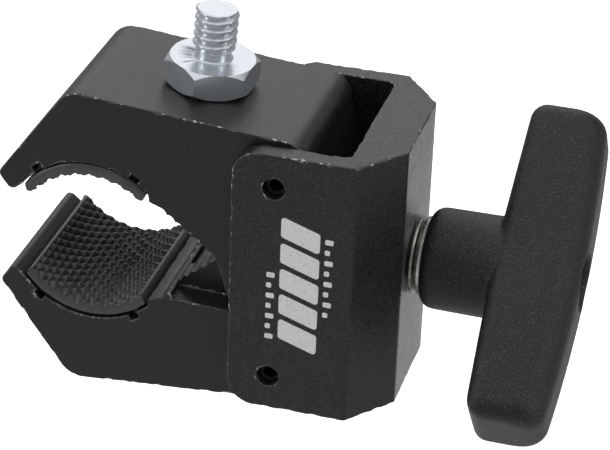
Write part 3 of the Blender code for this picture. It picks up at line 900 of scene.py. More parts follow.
    @staticmethod
    def move(obj: bpy.types.Object, matrix: Matrix) -> bpy.types.Object:
        """Move an object's mesh into the row frame."""
        obj.data.transform(matrix)
        return obj


def thread_radius(turn: float, along: float, pitch: float, depth: float) -> float:
    """Tell how far a screw thread's surface lies below its crests.

    Args:
        turn: angle about the screw's axis, in radians.
        along: distance along the axis.
        pitch: the thread's pitch.
        depth: from crest to root.

    Returns:
        The drop from the crest's radius.
    """
    phase = (along / pitch - turn / (2 * math.pi)) % 1.0
    flank = 1 - abs(2 * phase - 1)              # 0 at the crest, 1 at the root
    share = min(1.0, max(0.0, (flank - 0.14) / 0.68))
    return depth * share


# ---------------------------------------------------------------- sub-assemblies


@dataclass
class Shop:
    """The finishes, made once and shared."""

    jaw: bpy.types.Material = field(init=False)
    channel: bpy.types.Material = field(init=False)
    edge: bpy.types.Material = field(init=False)
    rubber: bpy.types.Material = field(init=False)
    zinc: bpy.types.Material = field(init=False)
    steel: bpy.types.Material = field(init=False)
    lip: bpy.types.Material = field(init=False)
    oxide: bpy.types.Material = field(init=False)
    moulding: bpy.types.Material = field(init=False)
    ink: bpy.types.Material = field(init=False)
    paper: bpy.types.Material = field(init=False)

    def __post_init__(self) -> None:
        """Make every finish."""
        self.jaw = BlackExtrusion("black_jaw", Axis.Y, (0.0, math.radians(52), 0.0)).make()
        self.channel = BlackExtrusion("black_channel", Axis.Z, (0.0, 0.0, math.radians(28)),
                                      cut_colour=(0.010, 0.010, 0.0105), polish=0.25).make()
        self.edge = WornEdge().make()
        self.rubber = PadRubber().make()
        self.zinc = BrightZinc().make()
        self.steel = TurnedSteel("turned_steel").make()
        self.lip = TurnedSteel("bright_steel", (0.74, 0.73, 0.7), (0.5, 0.49, 0.46), 0.12).make()
        self.oxide = BlackOxide().make()
        self.moulding = MouldedBlack().make()
        self.ink = PrintedWhite().make()
        self.paper = StudioPaper().make()


@dataclass
class Yoke:
    """The channel yoke, its spring pins and its printed mark."""

    shop: Shop
    plate: float = 2.8 * MM
    back_wall: float = 7.0 * MM
    chamfer_x: float = 5.6 * MM
    chamfer_y: float = 7.0 * MM
    plate_corner: float = 4.0 * MM
    channel_fillet: float = 1.3 * MM
    corner_round: float = 0.9 * MM
    spindle_hole: float = 6.2 * MM
    pin_hole: float = 3.2 * MM
    pin: float = 3.0 * MM
    pin_wall: float = 0.6 * MM
    pin_slot: float = 0.6 * MM
    pin_recess: float = 1.2 * MM
    pin_round: float = 0.14 * MM
    edge: float = 0.42 * MM
    ink_thickness: float = 0.02 * MM
    past: float = 2.0 * MM

    def build(self) -> list[bpy.types.Object]:
        """Make the yoke's pieces.

        Returns:
            The pieces, riding on the yoke.
        """
        low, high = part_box("yoke")
        pivots = [Vector(joint["pos_m"]) for joint in joints_of("hinge") if joint["pos_m"][2]]
        pieces = [stand_in(self.channel(low, high, pivots), "yoke", "yoke")]
        for pivot in pivots:
            side = "upper" if pivot.z > 0 else "lower"
            pin = self.spring_pin(f"{side}_spring_pin", pivot, high.y)
            pieces.append(stand_in(pin, "yoke", f"{side}_pivot_pin"))
        mark = self.printed_mark(low, high)
        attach(mark, "yoke")
        pieces.append(mark)
        return pieces

    def channel(self, low: Vector, high: Vector,
                pivots: list[Vector]) -> bpy.types.Object:
        """Cut the channel from its extrusion.

        Args:
            low: the yoke's lowest corner.
            high: its highest corner.
            pivots: where the jaws' pins cross it.

        Returns:
            The channel.
        """
        wall = high.x - self.back_wall
        inner = high.y - self.plate
        outline = round_outline([
            (low.x, low.y, 0),
            (high.x - self.chamfer_x, low.y, self.corner_round),
            (high.x, low.y + self.chamfer_y, self.corner_round),
            (high.x, high.y - self.chamfer_y, self.corner_round),
            (high.x - self.chamfer_x, high.y, self.corner_round),
            (low.x, high.y, 0),
            (low.x, inner, 0),
            (wall, inner, self.channel_fillet),
            (wall, -inner, self.channel_fillet),
            (low.x, -inner, 0),
        ], 6)
        body = Bench.prism("yoke_channel", outline, low.z, high.z)
        front = low.x - self.past
        inset = low.x + self.plate_corner
        side = round_outline([
            (front, low.z - self.past, 0), (inset, low.z - self.past, 0),
            (inset, low.z, 0), (low.x, low.z, self.plate_corner),
            (low.x, high.z, self.plate_corner), (inset, high.z, 0),
            (inset, high.z + self.past, 0), (front, high.z + self.past, 0)], 16)
        tools = [Bench.prism("corner", side, low.y - self.past, high.y + self.past, Axis.Y),
                 Bench.rod("bore", self.spindle_hole, wall - self.past, high.x + self.past,
                           Axis.X)]
        tools += [Bench.rod("pin_hole", self.pin_hole, low.y - self.past, high.y + self.past,
                            Axis.Y, (pivot.x, pivot.z)) for pivot in pivots]
        Bench.combine(body, tools)
        Bench.dress(body, self.shop.channel, self.shop.edge)
        return Bench.break_edges(body, self.edge, 3.0)

    def spring_pin(self, name: str, pivot: Vector, reach: float) -> bpy.types.Object:
        """Roll a slotted spring pin.

        Args:
            name: the piece's name.
            pivot: the pin's middle.
            reach: from the middle to the yoke's side face.

        Returns:
            The pin.
        """
        outer = self.pin / 2
        inner = outer - self.pin_wall
        slot = math.asin(self.pin_slot / 2 / outer)
        outline = arc((0, 0), outer, slot, 2 * math.pi - slot, 40)
        outline += arc((0, 0), inner, 2 * math.pi - slot * outer / inner,
                       slot * outer / inner, 40)
        half = reach - self.pin_recess
        pin = Bench.prism(name, outline, -half, half, Axis.Y)
        Bench.dress(pin, self.shop.oxide)
        Bench.bevel(pin, self.pin_round, 3, math.radians(40))
        return Bench.move(pin, Matrix.Translation(pivot))

    def printed_mark(self, low: Vector, high: Vector) -> bpy.types.Object:
        """Print a plain mark of slanted bars and ticks, with no lettering.

        Args:
            low: the yoke's lowest corner.
            high: its highest corner; not used.

        Returns:
            The ink, a hair proud of the plate.
        """
        left = low.x + 7.3 * MM
        width = 5.6 * MM
        slant = 1.9 * MM
        bars = 5
        pitch = 4.05 * MM
        tall = 3.2 * MM
        top = 9.2 * MM
        bar_round = 0.45 * MM
        ticks = (1.2 * MM, 0.75 * MM)       # long and short by turns
        tick_pitch = 1.65 * MM
        tick_tall = 0.8 * MM
        tick_round = 0.2 * MM
        shape = bmesh.new()
        outlines = []
        for bar in range(bars):
            start = top - bar * pitch
            outlines.append(round_outline([
                (left, start + slant - tall, bar_round), (left + width, start - tall, bar_round),
                (left + width, start, bar_round), (left, start + slant, bar_round)], 5))
        columns = ((left + width + 0.7 * MM, 8.6 * MM, 8), (left - 1.9 * MM, 2.0 * MM, 7))
        for x, first, count in columns:
            for tick in range(count):
                end = x + ticks[tick % 2]
                z = first - tick * tick_pitch
                outlines.append(round_outline([
                    (x, z - tick_tall, tick_round), (end, z - tick_tall, tick_round),
                    (end, z, tick_round), (x, z, tick_round)], 3))
        for outline in outlines:
            face = shape.faces.new([shape.verts.new((x, low.y, z)) for x, z in outline])
            grown = bmesh.ops.extrude_face_region(shape, geom=[face])["geom"]
            tops = [item for item in grown if isinstance(item, bmesh.types.BMVert)]
            bmesh.ops.translate(shape, verts=tops, vec=(0, -self.ink_thickness, 0))
        mark = Bench.from_shape("printed_mark", shape)
        return Bench.dress(mark, self.shop.ink)


def stand_in(piece: bpy.types.Object, body: str, node: str) -> bpy.types.Object:
    """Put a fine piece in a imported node's place.

    Args:
        piece: the fine piece.
        body: the body that it rides on.
        node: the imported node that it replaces.

    Returns:
        The piece.
    """
    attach(piece, body)
    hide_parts(node)
    return piece


def joints_of(kind: str) -> list[dict]:
    """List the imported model's joints of one type."""
    return [joint for joint in frame["joints"] if joint["type"] == kind]


@dataclass
class JawShape:
    """A jaw's side view about its pivot, with the back level."""

    back: float = 5.8 * MM
    knuckle_back: float = 3.6 * MM
    knuckle_corner: float = 3.3 * MM
    knuckle_drop: float = 5.6 * MM
    shoulder: Point = (-31.5 * MM, 4.0 * MM)
    toe_front: tuple[float, float, float] = (-40.8 * MM, -9.4 * MM, 1.0 * MM)
    toe_tip: tuple[float, float, float] = (-38.7 * MM, -12.0 * MM, 0.8 * MM)
    seat_centre: Point = (-26.45 * MM, -17.2 * MM)
    seat: float = 12.6 * MM
    seat_from: float = math.radians(148.0)
    seat_to: float = math.radians(51.0)
    land: Point = (-18.3 * MM, -8.5 * MM)
    teeth_start: Point = (-16.8 * MM, -9.0 * MM)
    nose: Point = (-7.8 * MM, -15.0 * MM)
    teeth: int = 7
    tooth_depth: float = 0.25 * MM
    finger_tip: float = -21.8 * MM
    finger_front: float = -5.1 * MM
    finger_back: float = 6.6 * MM
    finger_round: float = 2.5 * MM
    notch_start: Point = (-14.75 * MM, -9.07 * MM)
    notch_floor: Point = (-6.4 * MM, -8.1 * MM)
    notch_deep: Point = (-4.8 * MM, -6.8 * MM)
    key_angles: Point = (math.radians(131.0), math.radians(64.0))
    key_width: float = 1.1 * MM
    key_depth: float = 0.7 * MM
    key_root: float = 1.2 * MM          # of the key, inside the pad
    key_mouth: float = 0.7              # of its width, at that root

    def teeth_points(self) -> list[Point]:
        """List the scalloped ramp from its first tooth to the nose."""
        start = Vector(self.teeth_start)
        step = (Vector(self.nose) - start) / self.teeth
        inward = Vector((-step.y, step.x)).normalized()
        points = []
        for tooth in range(self.teeth):
            for share in (0.0, 0.14, 0.3, 0.5, 0.68, 0.84, 0.94):
                depth = self.tooth_depth * math.sin(math.pi * share ** 0.8)
                spot = start + step * (tooth + share) + inward * depth
                points.append((spot.x, spot.y))
        return points

    def outline(self) -> list[Point]:
        """Draw the whole side view."""
        toe_front, toe_tip = self.toe_front[:2], self.toe_tip[:2]
        shoulder = (self.shoulder[0], self.back)
        seat_start = (self.seat_centre[0] + self.seat * math.cos(self.seat_from),
                      self.seat_centre[1] + self.seat * math.sin(self.seat_from))
        tip_front = (self.finger_front, self.finger_tip)
        tip_back = (self.finger_back, self.finger_tip)
        points = rounded((self.knuckle_back, 0), (self.knuckle_back, self.back), (0, self.back),
                         self.knuckle_corner, 16)
        points += rounded((0, self.back), shoulder, toe_front, self.shoulder[1], 16)
        points += rounded(shoulder, toe_front, toe_tip, self.toe_front[2], 8)
        points += rounded(toe_front, toe_tip, seat_start, self.toe_tip[2], 8)
        points += arc(self.seat_centre, self.seat, self.seat_from, self.seat_to, 48)
        points += [self.land] + self.teeth_points() + [self.nose]
        points += rounded(self.nose, tip_front, tip_back, self.finger_round, 8)
        points += rounded(tip_front, tip_back, (self.finger_back, 0), self.finger_round, 8)
        return points + [(self.finger_back, -self.knuckle_drop)]

    def notch(self, past: float) -> list[Point]:
        """Draw what is milled away beside a finger.

        Args:
            past: how far the cut runs past the jaw.

        Returns:
            The cut's outline.
        """
        below = self.finger_tip - past
        behind = self.finger_back + past
        return [(self.notch_start[0], below), (behind, below), (behind, self.notch_deep[1]),
                self.notch_deep, self.notch_floor, self.notch_start]

    def groove(self, angle: float, clearance: float) -> list[Point]:
        """Draw a pad's key groove, wider where it is deep.

        Args:
            angle: where it lies on the seat.
            clearance: what it leaves round the key.

        Returns:
            The groove's outline.
        """
        half = self.key_width / 2 + clearance
        out = Vector((math.cos(angle), math.sin(angle)))
        across = Vector((-out.y, out.x))
        centre = Vector(self.seat_centre)
        narrow = self.key_mouth * half
        corners = ((-self.key_root, -narrow), (-self.key_root, narrow),
                   (self.key_depth + clearance, half), (self.key_depth + clearance, -half))
        spots = [centre + out * (self.seat + r) + across * s for r, s in corners]
        return [(spot.x, spot.y) for spot in spots]


@dataclass
class Jaws:
    """Both jaws and their tread pads."""

    shop: Shop
    shape: JawShape
    open_angle: float = math.radians(4.4)
    half: float = 11.9 * MM
    centre_gap: float = 8.0 * MM
    finger_gap: float = 0.3 * MM
    pin_hole: float = 3.2 * MM
    nut_hole: float = 9.2 * MM
    nut_drop: float = 15.0 * MM
    stud_x: float = -14.35 * MM
    stud_hole: float = 8.3 * MM
    stud_deep: float = 7.25 * MM
    gap: float = 0.25 * MM
    edge: float = 0.4 * MM
    past: float = 2.0 * MM

    def frame_of(self, side: str) -> Matrix:
        """Place a jaw's own frame.

        Args:
            side: upper or lower.

        Returns:
            The matrix from the jaw's frame to the row's.
        """
        pivot = next(Vector(joint["pos_m"]) for joint in joints_of("hinge")
                     if joint["child"] == f"{side}_jaw")
        turn = Matrix.Rotation(self.open_angle, 4, "Y")
        if side == "lower":
            turn = Matrix.Rotation(-self.open_angle, 4, "Y") @ Matrix.Rotation(math.pi, 4, "X")
        return Matrix.Translation(pivot) @ turn

    def build(self) -> list[bpy.types.Object]:
        """Make both jaws and both pads.

        Returns:
            The pieces, riding on the jaws.
        """
        pieces = []
        for side, seed in (("upper", 11.0), ("lower", 29.0)):
            place = self.frame_of(side)
            jaw = Bench.move(self.jaw(f"{side}_jaw_milled", side == "upper", seed), place)
            pieces.append(stand_in(jaw, f"{side}_jaw", f"{side}_jaw"))
            tread = Pad(self.shop, self.shape, self.half).build(f"{side}_tread_pad")
            Bench.move(tread, place)
            pieces.append(stand_in(tread, f"{side}_jaw", f"{side}_pad"))
        return pieces

    def jaw(self, name: str, with_stud: bool, seed: float) -> bpy.types.Object:
        """Saw and mill one jaw.

        Args:
            name: the piece's name.
            with_stud: drill the stud's hole.
            seed: where its chips are read.

        Returns:
            The jaw, in its own frame.
        """
        shape = self.shape
        wide = self.half + self.past
        split = (self.centre_gap / 2 + self.half) / 2
        slack = self.finger_gap / 2
        body = Bench.prism(name, shape.outline(), -self.half, self.half, Axis.Y)
        notch = shape.notch(self.past)
        tools = [Bench.prism("notch", notch, -split - slack, self.centre_gap / 2, Axis.Y),
                 Bench.prism("notch", notch, split - slack, wide, Axis.Y),
                 Bench.rod("pin_hole", self.pin_hole, -wide, wide, Axis.Y),
                 Bench.rod("nut_hole", self.nut_hole, -wide, wide, Axis.Y, (0, -self.nut_drop))]
        tools += [Bench.prism("groove", shape.groove(angle, self.gap), -wide, wide, Axis.Y)
                  for angle in shape.key_angles]
        if with_stud:
            tools.append(Bench.rod("stud_hole", self.stud_hole, shape.back - self.stud_deep,
                                   shape.back + self.past, Axis.Z, (self.stud_x, 0)))
        Bench.combine(body, tools)
        Bench.dress(body, self.shop.jaw, self.shop.edge)
        return Bench.break_edges(body, self.edge, seed)


@dataclass
class Pad:
    """A rubber pad with a diamond tread, keyed into its seat."""

    shop: Shop
    shape: JawShape
    jaw_half: float
    thickness: float = 2.5 * MM
    inner: float = 10.9 * MM
    gap: float = 0.25 * MM
    end_inset: float = math.radians(0.6)
    side_inset: float = 0.2 * MM
    key_inset: float = 1.2 * MM
    pitch_along: float = 2.0 * MM       # of the tread, round the seat
    pitch_across: float = 1.95 * MM
    crest: float = 0.7 * MM
    valley: float = 0.1
    flat: float = 0.95              # of a stud's flanks, where its rounded top is reached
    border: float = 0.7 * MM         # plain rubber at the pad's ends
    side_border: float = 0.25 * MM
    rim: float = 0.35 * MM
    steps_along: int = 128
    steps_across: int = 168

    def relief(self, along: float, across: float, length: float, half: float) -> float:
        """Tell how far the tread's surface lies below its crests.

        Args:
            along: distance round the seat from the pad's end.
            across: distance from the pad's middle.
            length: the pad's length round the seat.
            half: half its width.

        Returns:
            The drop.
        """
        u = along / self.pitch_along
        v = across / self.pitch_across
        first = 1 - abs(2 * ((u + v) % 1.0) - 1)
        second = 1 - abs(2 * ((u - v) % 1.0) - 1)
        rise = min(1.0, max(0.0, min(first, second) - self.valley) / (self.flat - self.valley))
        rise = math.sin(rise * math.pi / 2)
        ends = (min(along, length - along) - self.border * 0.4) / (self.border * 0.6)
        share = min(1.0, max(0.0, min(ends, (half - abs(across)) / self.side_border)))
        return self.crest * (share * (1 - rise) + 0.55 * (1 - share))

    def build(self, name: str) -> bpy.types.Object:
        """Mould the pad.

        Args:
            name: the piece's name.

        Returns:
            The pad, in its jaw's frame.
        """
        shape = self.shape
        half = self.jaw_half - self.side_inset
        outer = shape.seat - self.gap
        drop = self.inner - (shape.seat - self.thickness)
        centre = Vector(shape.seat_centre) - Vector((0, drop))
        start = shape.seat_from - self.end_inset - math.radians(1.0)
        end = shape.seat_to + self.end_inset + math.radians(1.0)
        length = (start - end) * self.inner
        back = arc(shape.seat_centre, outer, shape.seat_to + self.end_inset,
                   shape.seat_from - self.end_inset, self.steps_along)
        rows = []
        stations = [-half, -half + self.rim * 0.3, -half + self.rim]
        inside = 2 * (half - self.rim) / self.steps_across
        stations += [-half + self.rim + inside * (step + 1) for step in range(self.steps_across)]
        stations += [half - self.rim * 0.3, half]
        for across in stations:
            away = max(0.0, abs(across) - (half - self.rim)) / self.rim
            shy = self.rim * (1 - math.sqrt(max(0.0, 1 - away * away)))
            row = []
            for step in range(self.steps_along + 1):
                share = step / self.steps_along
                angle = start + (end - start) * share
                sink = self.relief(length * share, across, length, half) + shy
                corner = min(length * share, length * (1 - share))
                sink += max(0.0, self.rim - corner) ** 2 / self.rim
                radius = self.inner + sink
                row.append(Vector((centre.x + radius * math.cos(angle), across,
                                   centre.y + radius * math.sin(angle))))
            seat = Vector(shape.seat_centre)
            for x, z in back:
                spot = Vector((x, z))
                pulled = spot + (seat - spot).normalized() * shy
                row.append(Vector((pulled.x, across, pulled.y)))
            rows.append(row)
        pad = Bench.strips(name, rows)
        key_half = half - self.key_inset
        keys = [Bench.prism("key", shape.groove(angle, 0.0), -key_half, key_half, Axis.Y)
                for angle in shape.key_angles]
        Bench.combine(pad, keys, "UNION")
        Bench.dress(pad, self.shop.rubber)
        return Bench.smooth(pad, math.radians(55))


@dataclass
class Stud:
    """The zinc-plated hexagon with its neck and quarter inch thread."""

    shop: Shop
    shape: JawShape
    x: float = -14.35 * MM
    gap: float = 0.25 * MM
    flats: float = 12.0 * MM
    height: float = 3.9 * MM
    cone_past: float = 0.05 * MM        # the corner cone's foot, past the flats
    cone_out: float = 0.4 * MM
    cone_slope: float = math.radians(40)
    arris: float = 0.11 * MM
    turn: float = math.radians(26.3)
    neck: float = 5.0 * MM
    neck_length: float = 1.25 * MM
    fillet: float = 0.35 * MM
    thread: float = 6.2 * MM
    pitch: float = 1.27 * MM
    depth: float = 0.62 * MM
    thread_length: float = 6.35 * MM
    thread_start: float = 0.93 * MM
    tip_chamfer: float = 0.32 * MM
    shank: float = 7.8 * MM
    shank_length: float = 7.0 * MM
    shank_chamfer: float = 0.5 * MM
    shank_top: float = 0.4 * MM         # below the hexagon's foot
    root: float = 0.2 * MM              # of the neck, inside the hexagon
    run_out: float = 0.4 * MM
    around: int = 96

    def build(self, place: Matrix) -> list[bpy.types.Object]:
        """Make the stud.

        Args:
            place: the upper jaw's frame.

        Returns:
            The stud, riding on the upper jaw.
        """
        stud = self.hexagon()
        Bench.combine(stud, [self.screw_end()], "UNION")
        Bench.even(stud, math.radians(24))
        Bench.dress(stud, self.shop.zinc)
        Bench.move(stud, place @ Matrix.Translation((self.x, 0, self.shape.back + self.gap)))
        return [stand_in(stud, "upper_jaw", "stud")]

    def hexagon(self) -> bpy.types.Object:
        """Make the hexagon, its corners turned off in a cone above and below."""
        corner = self.flats / math.sqrt(3)
        outline = [(corner * math.cos(self.turn + math.radians(60 * side)),
                    corner * math.sin(self.turn + math.radians(60 * side)))
                   for side in range(6)]
        body = Bench.prism("stud_zinc", outline, 0.0, self.height)
        flat = self.flats / 2 + self.cone_past
        out = corner + self.cone_out
        fall = (out - flat) * math.tan(self.cone_slope)
        cone = Bench.turned("cone", [
            (0.0, 0.0), (0.0, flat), (fall, out), (self.height - fall, out),
            (self.height, flat), (self.height, 0.0)], self.around)
        Bench.move(cone, Matrix.Rotation(-math.pi / 2, 4, "Y"))
        Bench.combine(body, [cone], "INTERSECT")
        return Bench.bevel(body, self.arris, 3, math.radians(20))

    def screw_end(self) -> bpy.types.Object:
        """Make the neck, the threaded end and the shank as one turned skin."""
        neck_top = self.height + self.neck_length
        top = neck_top + self.thread_length
        fine = self.pitch / 14
        heights = [-self.shank_length, -self.shank_top, self.height - self.root, self.height]
        heights += [self.height + self.fillet * share for share in (0.15, 0.4, 0.7, 1.0)]
        heights.append(neck_top - self.run_out)
        heights += [neck_top + fine * step for step in range(int(self.thread_length / fine))]
        heights = [z for z in heights if z < top - self.tip_chamfer]
        heights += [top - self.tip_chamfer * share for share in (1.0, 0.7, 0.45, 0.25, 0.1, 0.0)]
        rows = []
        for z in heights:
            row = []
            for step in range(self.around):
                angle = 2 * math.pi * step / self.around
                row.append(Vector((self.radius(z, angle, neck_top, top) * math.cos(angle),
                                   self.radius(z, angle, neck_top, top) * math.sin(angle), z)))
            rows.append(row)
        return Bench.grid("screw_end", rows)

    def radius(self, z: float, angle: float, neck_top: float, top: float) -> float:
        """Tell the turned end's radius at one spot.

        Args:
            z: height above the hexagon's foot.
            angle: angle about the stud's axis.
            neck_top: where the thread starts.
            top: where it ends.

        Returns:
            The radius.
        """
        if z < 0:
            return self.shank / 2 - (self.shank_chamfer if z <= -self.shank_length else 0.0)
        if z < neck_top:
            rise = max(0.0, 1 - (z - self.height) / self.fillet)
            return self.neck / 2 + self.fillet * rise * rise
        crest = self.thread / 2
        drop = thread_radius(angle, z + self.thread_start, self.pitch, self.depth)
        lead = max(0.0, 1 - (z - neck_top) / (0.45 * self.pitch))
        chamfer = max(0.0, self.tip_chamfer - (top - z))
        chamfer *= chamfer / self.tip_chamfer
        body = crest - max(drop, lead * self.depth)
        return min(body, crest - chamfer)


@dataclass
class ClosingScrew:
    """The spindle with its thread, washer and insert collar, and what it carries."""

    shop: Shop
    rod: float = 6.0 * MM
    pitch: float = 1.0 * MM
    depth: float = 0.55 * MM
    groove: float = 0.5 * MM
    washer_edge: float = 0.12 * MM
    washer_gap: float = 0.25 * MM
    clip_slack: float = 0.12 * MM
    step: float = 0.02 * MM             # how quickly a shoulder is reached
    collar_chamfer: float = 0.1 * MM
    tang_chamfer: float = 0.3 * MM
    nose_chamfer: float = 0.5 * MM
    collar_length: float = 1.6 * MM
    collar_step: float = 0.2 * MM       # the insert's front ring stands back this far
    collar_land: float = 0.4 * MM
    collar_rise: float = 0.15 * MM
    collar_round: float = 0.3 * MM
    insert: float = 9.0 * MM
    bore: float = 5.2 * MM
    tang: float = 5.0 * MM
    flats: float = 4.0 * MM
    around: int = 64
    kept: tuple[tuple[str, str], ...] = (
        ("barrel_nut", "steel"), ("end_clip", "oxide"), ("inner_thrust_washer", "steel"),
        ("screw_lock_washer", "oxide"))

    def build(self) -> list[bpy.types.Object]:
        """Make the spindle, the outer washer and the insert, and dress the rest.

        Returns:
            The new pieces, riding on the spindle.
        """
        pieces = [self.spindle(), self.outer_washer(), self.insert_collar()]
        for piece, node in zip(pieces, ("spindle", "outer_thrust_washer", "handle_insert")):
            stand_in(piece, "spindle", node)
        for node, finish in self.kept:
            for spot in frame["nodes"][node].material_slots:
                spot.material = getattr(self.shop, finish)
        return pieces

    def spindle(self) -> bpy.types.Object:
        """Cut the spindle's thread, collar and tang as one skin."""
        low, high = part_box("spindle")
        clip_low, clip_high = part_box("end_clip")
        washer_low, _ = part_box("inner_thrust_washer")
        outer_low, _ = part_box("outer_thrust_washer")
        collar = (high.z - low.z) / 2
        collar_back = washer_low.x - self.washer_gap
        collar_front = collar_back - self.collar_length
        tang_start = outer_low.x
        fine = self.pitch / 10
        steps = int((collar_front - low.x) / fine)
        stations = [low.x + fine * place for place in range(steps)]
        step, chamfer = self.step, self.collar_chamfer
        stations += [collar_front - step, collar_front, collar_front + chamfer,
                     collar_back - chamfer, collar_back, collar_back + step,
                     tang_start - step, tang_start, high.x - self.tang_chamfer, high.x]
        rows = []
        for x in stations:
            row = []
            for place in range(self.around):
                angle = 2 * math.pi * place / self.around
                if x >= tang_start:
                    radius = self.tang / 2 - max(0.0, self.tang_chamfer - (high.x - x))
                elif collar_front <= x <= collar_back:
                    shy = max(0.0, chamfer - min(x - collar_front, collar_back - x))
                    radius = collar - shy
                elif x > collar_back:
                    radius = self.rod / 2
                elif clip_low.x - self.clip_slack < x < clip_high.x + self.clip_slack:
                    radius = self.rod / 2 - self.groove
                else:
                    radius = self.rod / 2 - thread_radius(angle, x, self.pitch, self.depth)
                    radius = min(radius, self.rod / 2 - self.nose_chamfer + (x - low.x))
                y = radius * math.cos(angle)
                if x >= tang_start:
                    y = max(-self.flats / 2, min(self.flats / 2, y))
                row.append(Vector((x, y, radius * math.sin(angle))))
            rows.append(row)
        spindle = Bench.grid("spindle_threaded", rows)
        Bench.move(spindle, Matrix.Rotation(-Handle.turn, 4, "X"))
        Bench.dress(spindle, self.shop.steel)
        return Bench.smooth(spindle, math.radians(40))

    def ring(self, name: str, low: float, high: float, bore: float, outside: float,
             edge: float) -> bpy.types.Object:
        """Turn a ring with rounded outer edges.

        Args:
            name: the piece's name.
            low: its front face along X.
            high: its rear face.
            bore: its bore's diameter.
            outside: its outer diameter.
            edge: the radius of its outer edges.

        Returns:
            The ring.
        """
        out = outside / 2
        profile = [(low, bore / 2)]
        profile += arc((low + edge, out - edge), edge, math.pi, math.pi / 2, 4)
        profile += arc((high - edge, out - edge), edge, math.pi / 2, 0.0, 4)
        profile += [(high, bore / 2), (low, bore / 2)]
        return Bench.turned(name, profile, 96)

    def outer_washer(self) -> bpy.types.Object:
        """Turn the washer between the yoke and the insert."""
        low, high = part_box("outer_thrust_washer")
        washer = self.ring("thrust_washer", low.x, high.x, self.rod + 0.2 * MM,
                           high.y - low.y, self.washer_edge)
        Bench.dress(washer, self.shop.steel)
        return Bench.smooth(washer)

    def insert_collar(self) -> bpy.types.Object:
        """Turn the steel insert with its bright rounded collar."""
        low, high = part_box("handle_insert")
        out = (high.y - low.y) / 2
        shoulder = low.x + self.collar_length
        edge = self.collar_round
        front = low.x + self.collar_step
        profile = [(low.x, self.bore / 2), (low.x, out - self.collar_land - self.collar_rise),
                   (front, out - self.collar_land)]
        profile += arc((front + edge, out - edge), edge, math.pi, math.pi / 2, 5)
        profile += [(shoulder, out), (shoulder, self.insert / 2), (high.x, self.insert / 2),
                    (high.x, self.bore / 2), (low.x, self.bore / 2)]
        collar = Bench.turned("insert_collar", profile, 96)
        Bench.dress(collar, self.shop.lip)
        return Bench.smooth(collar, math.radians(40))


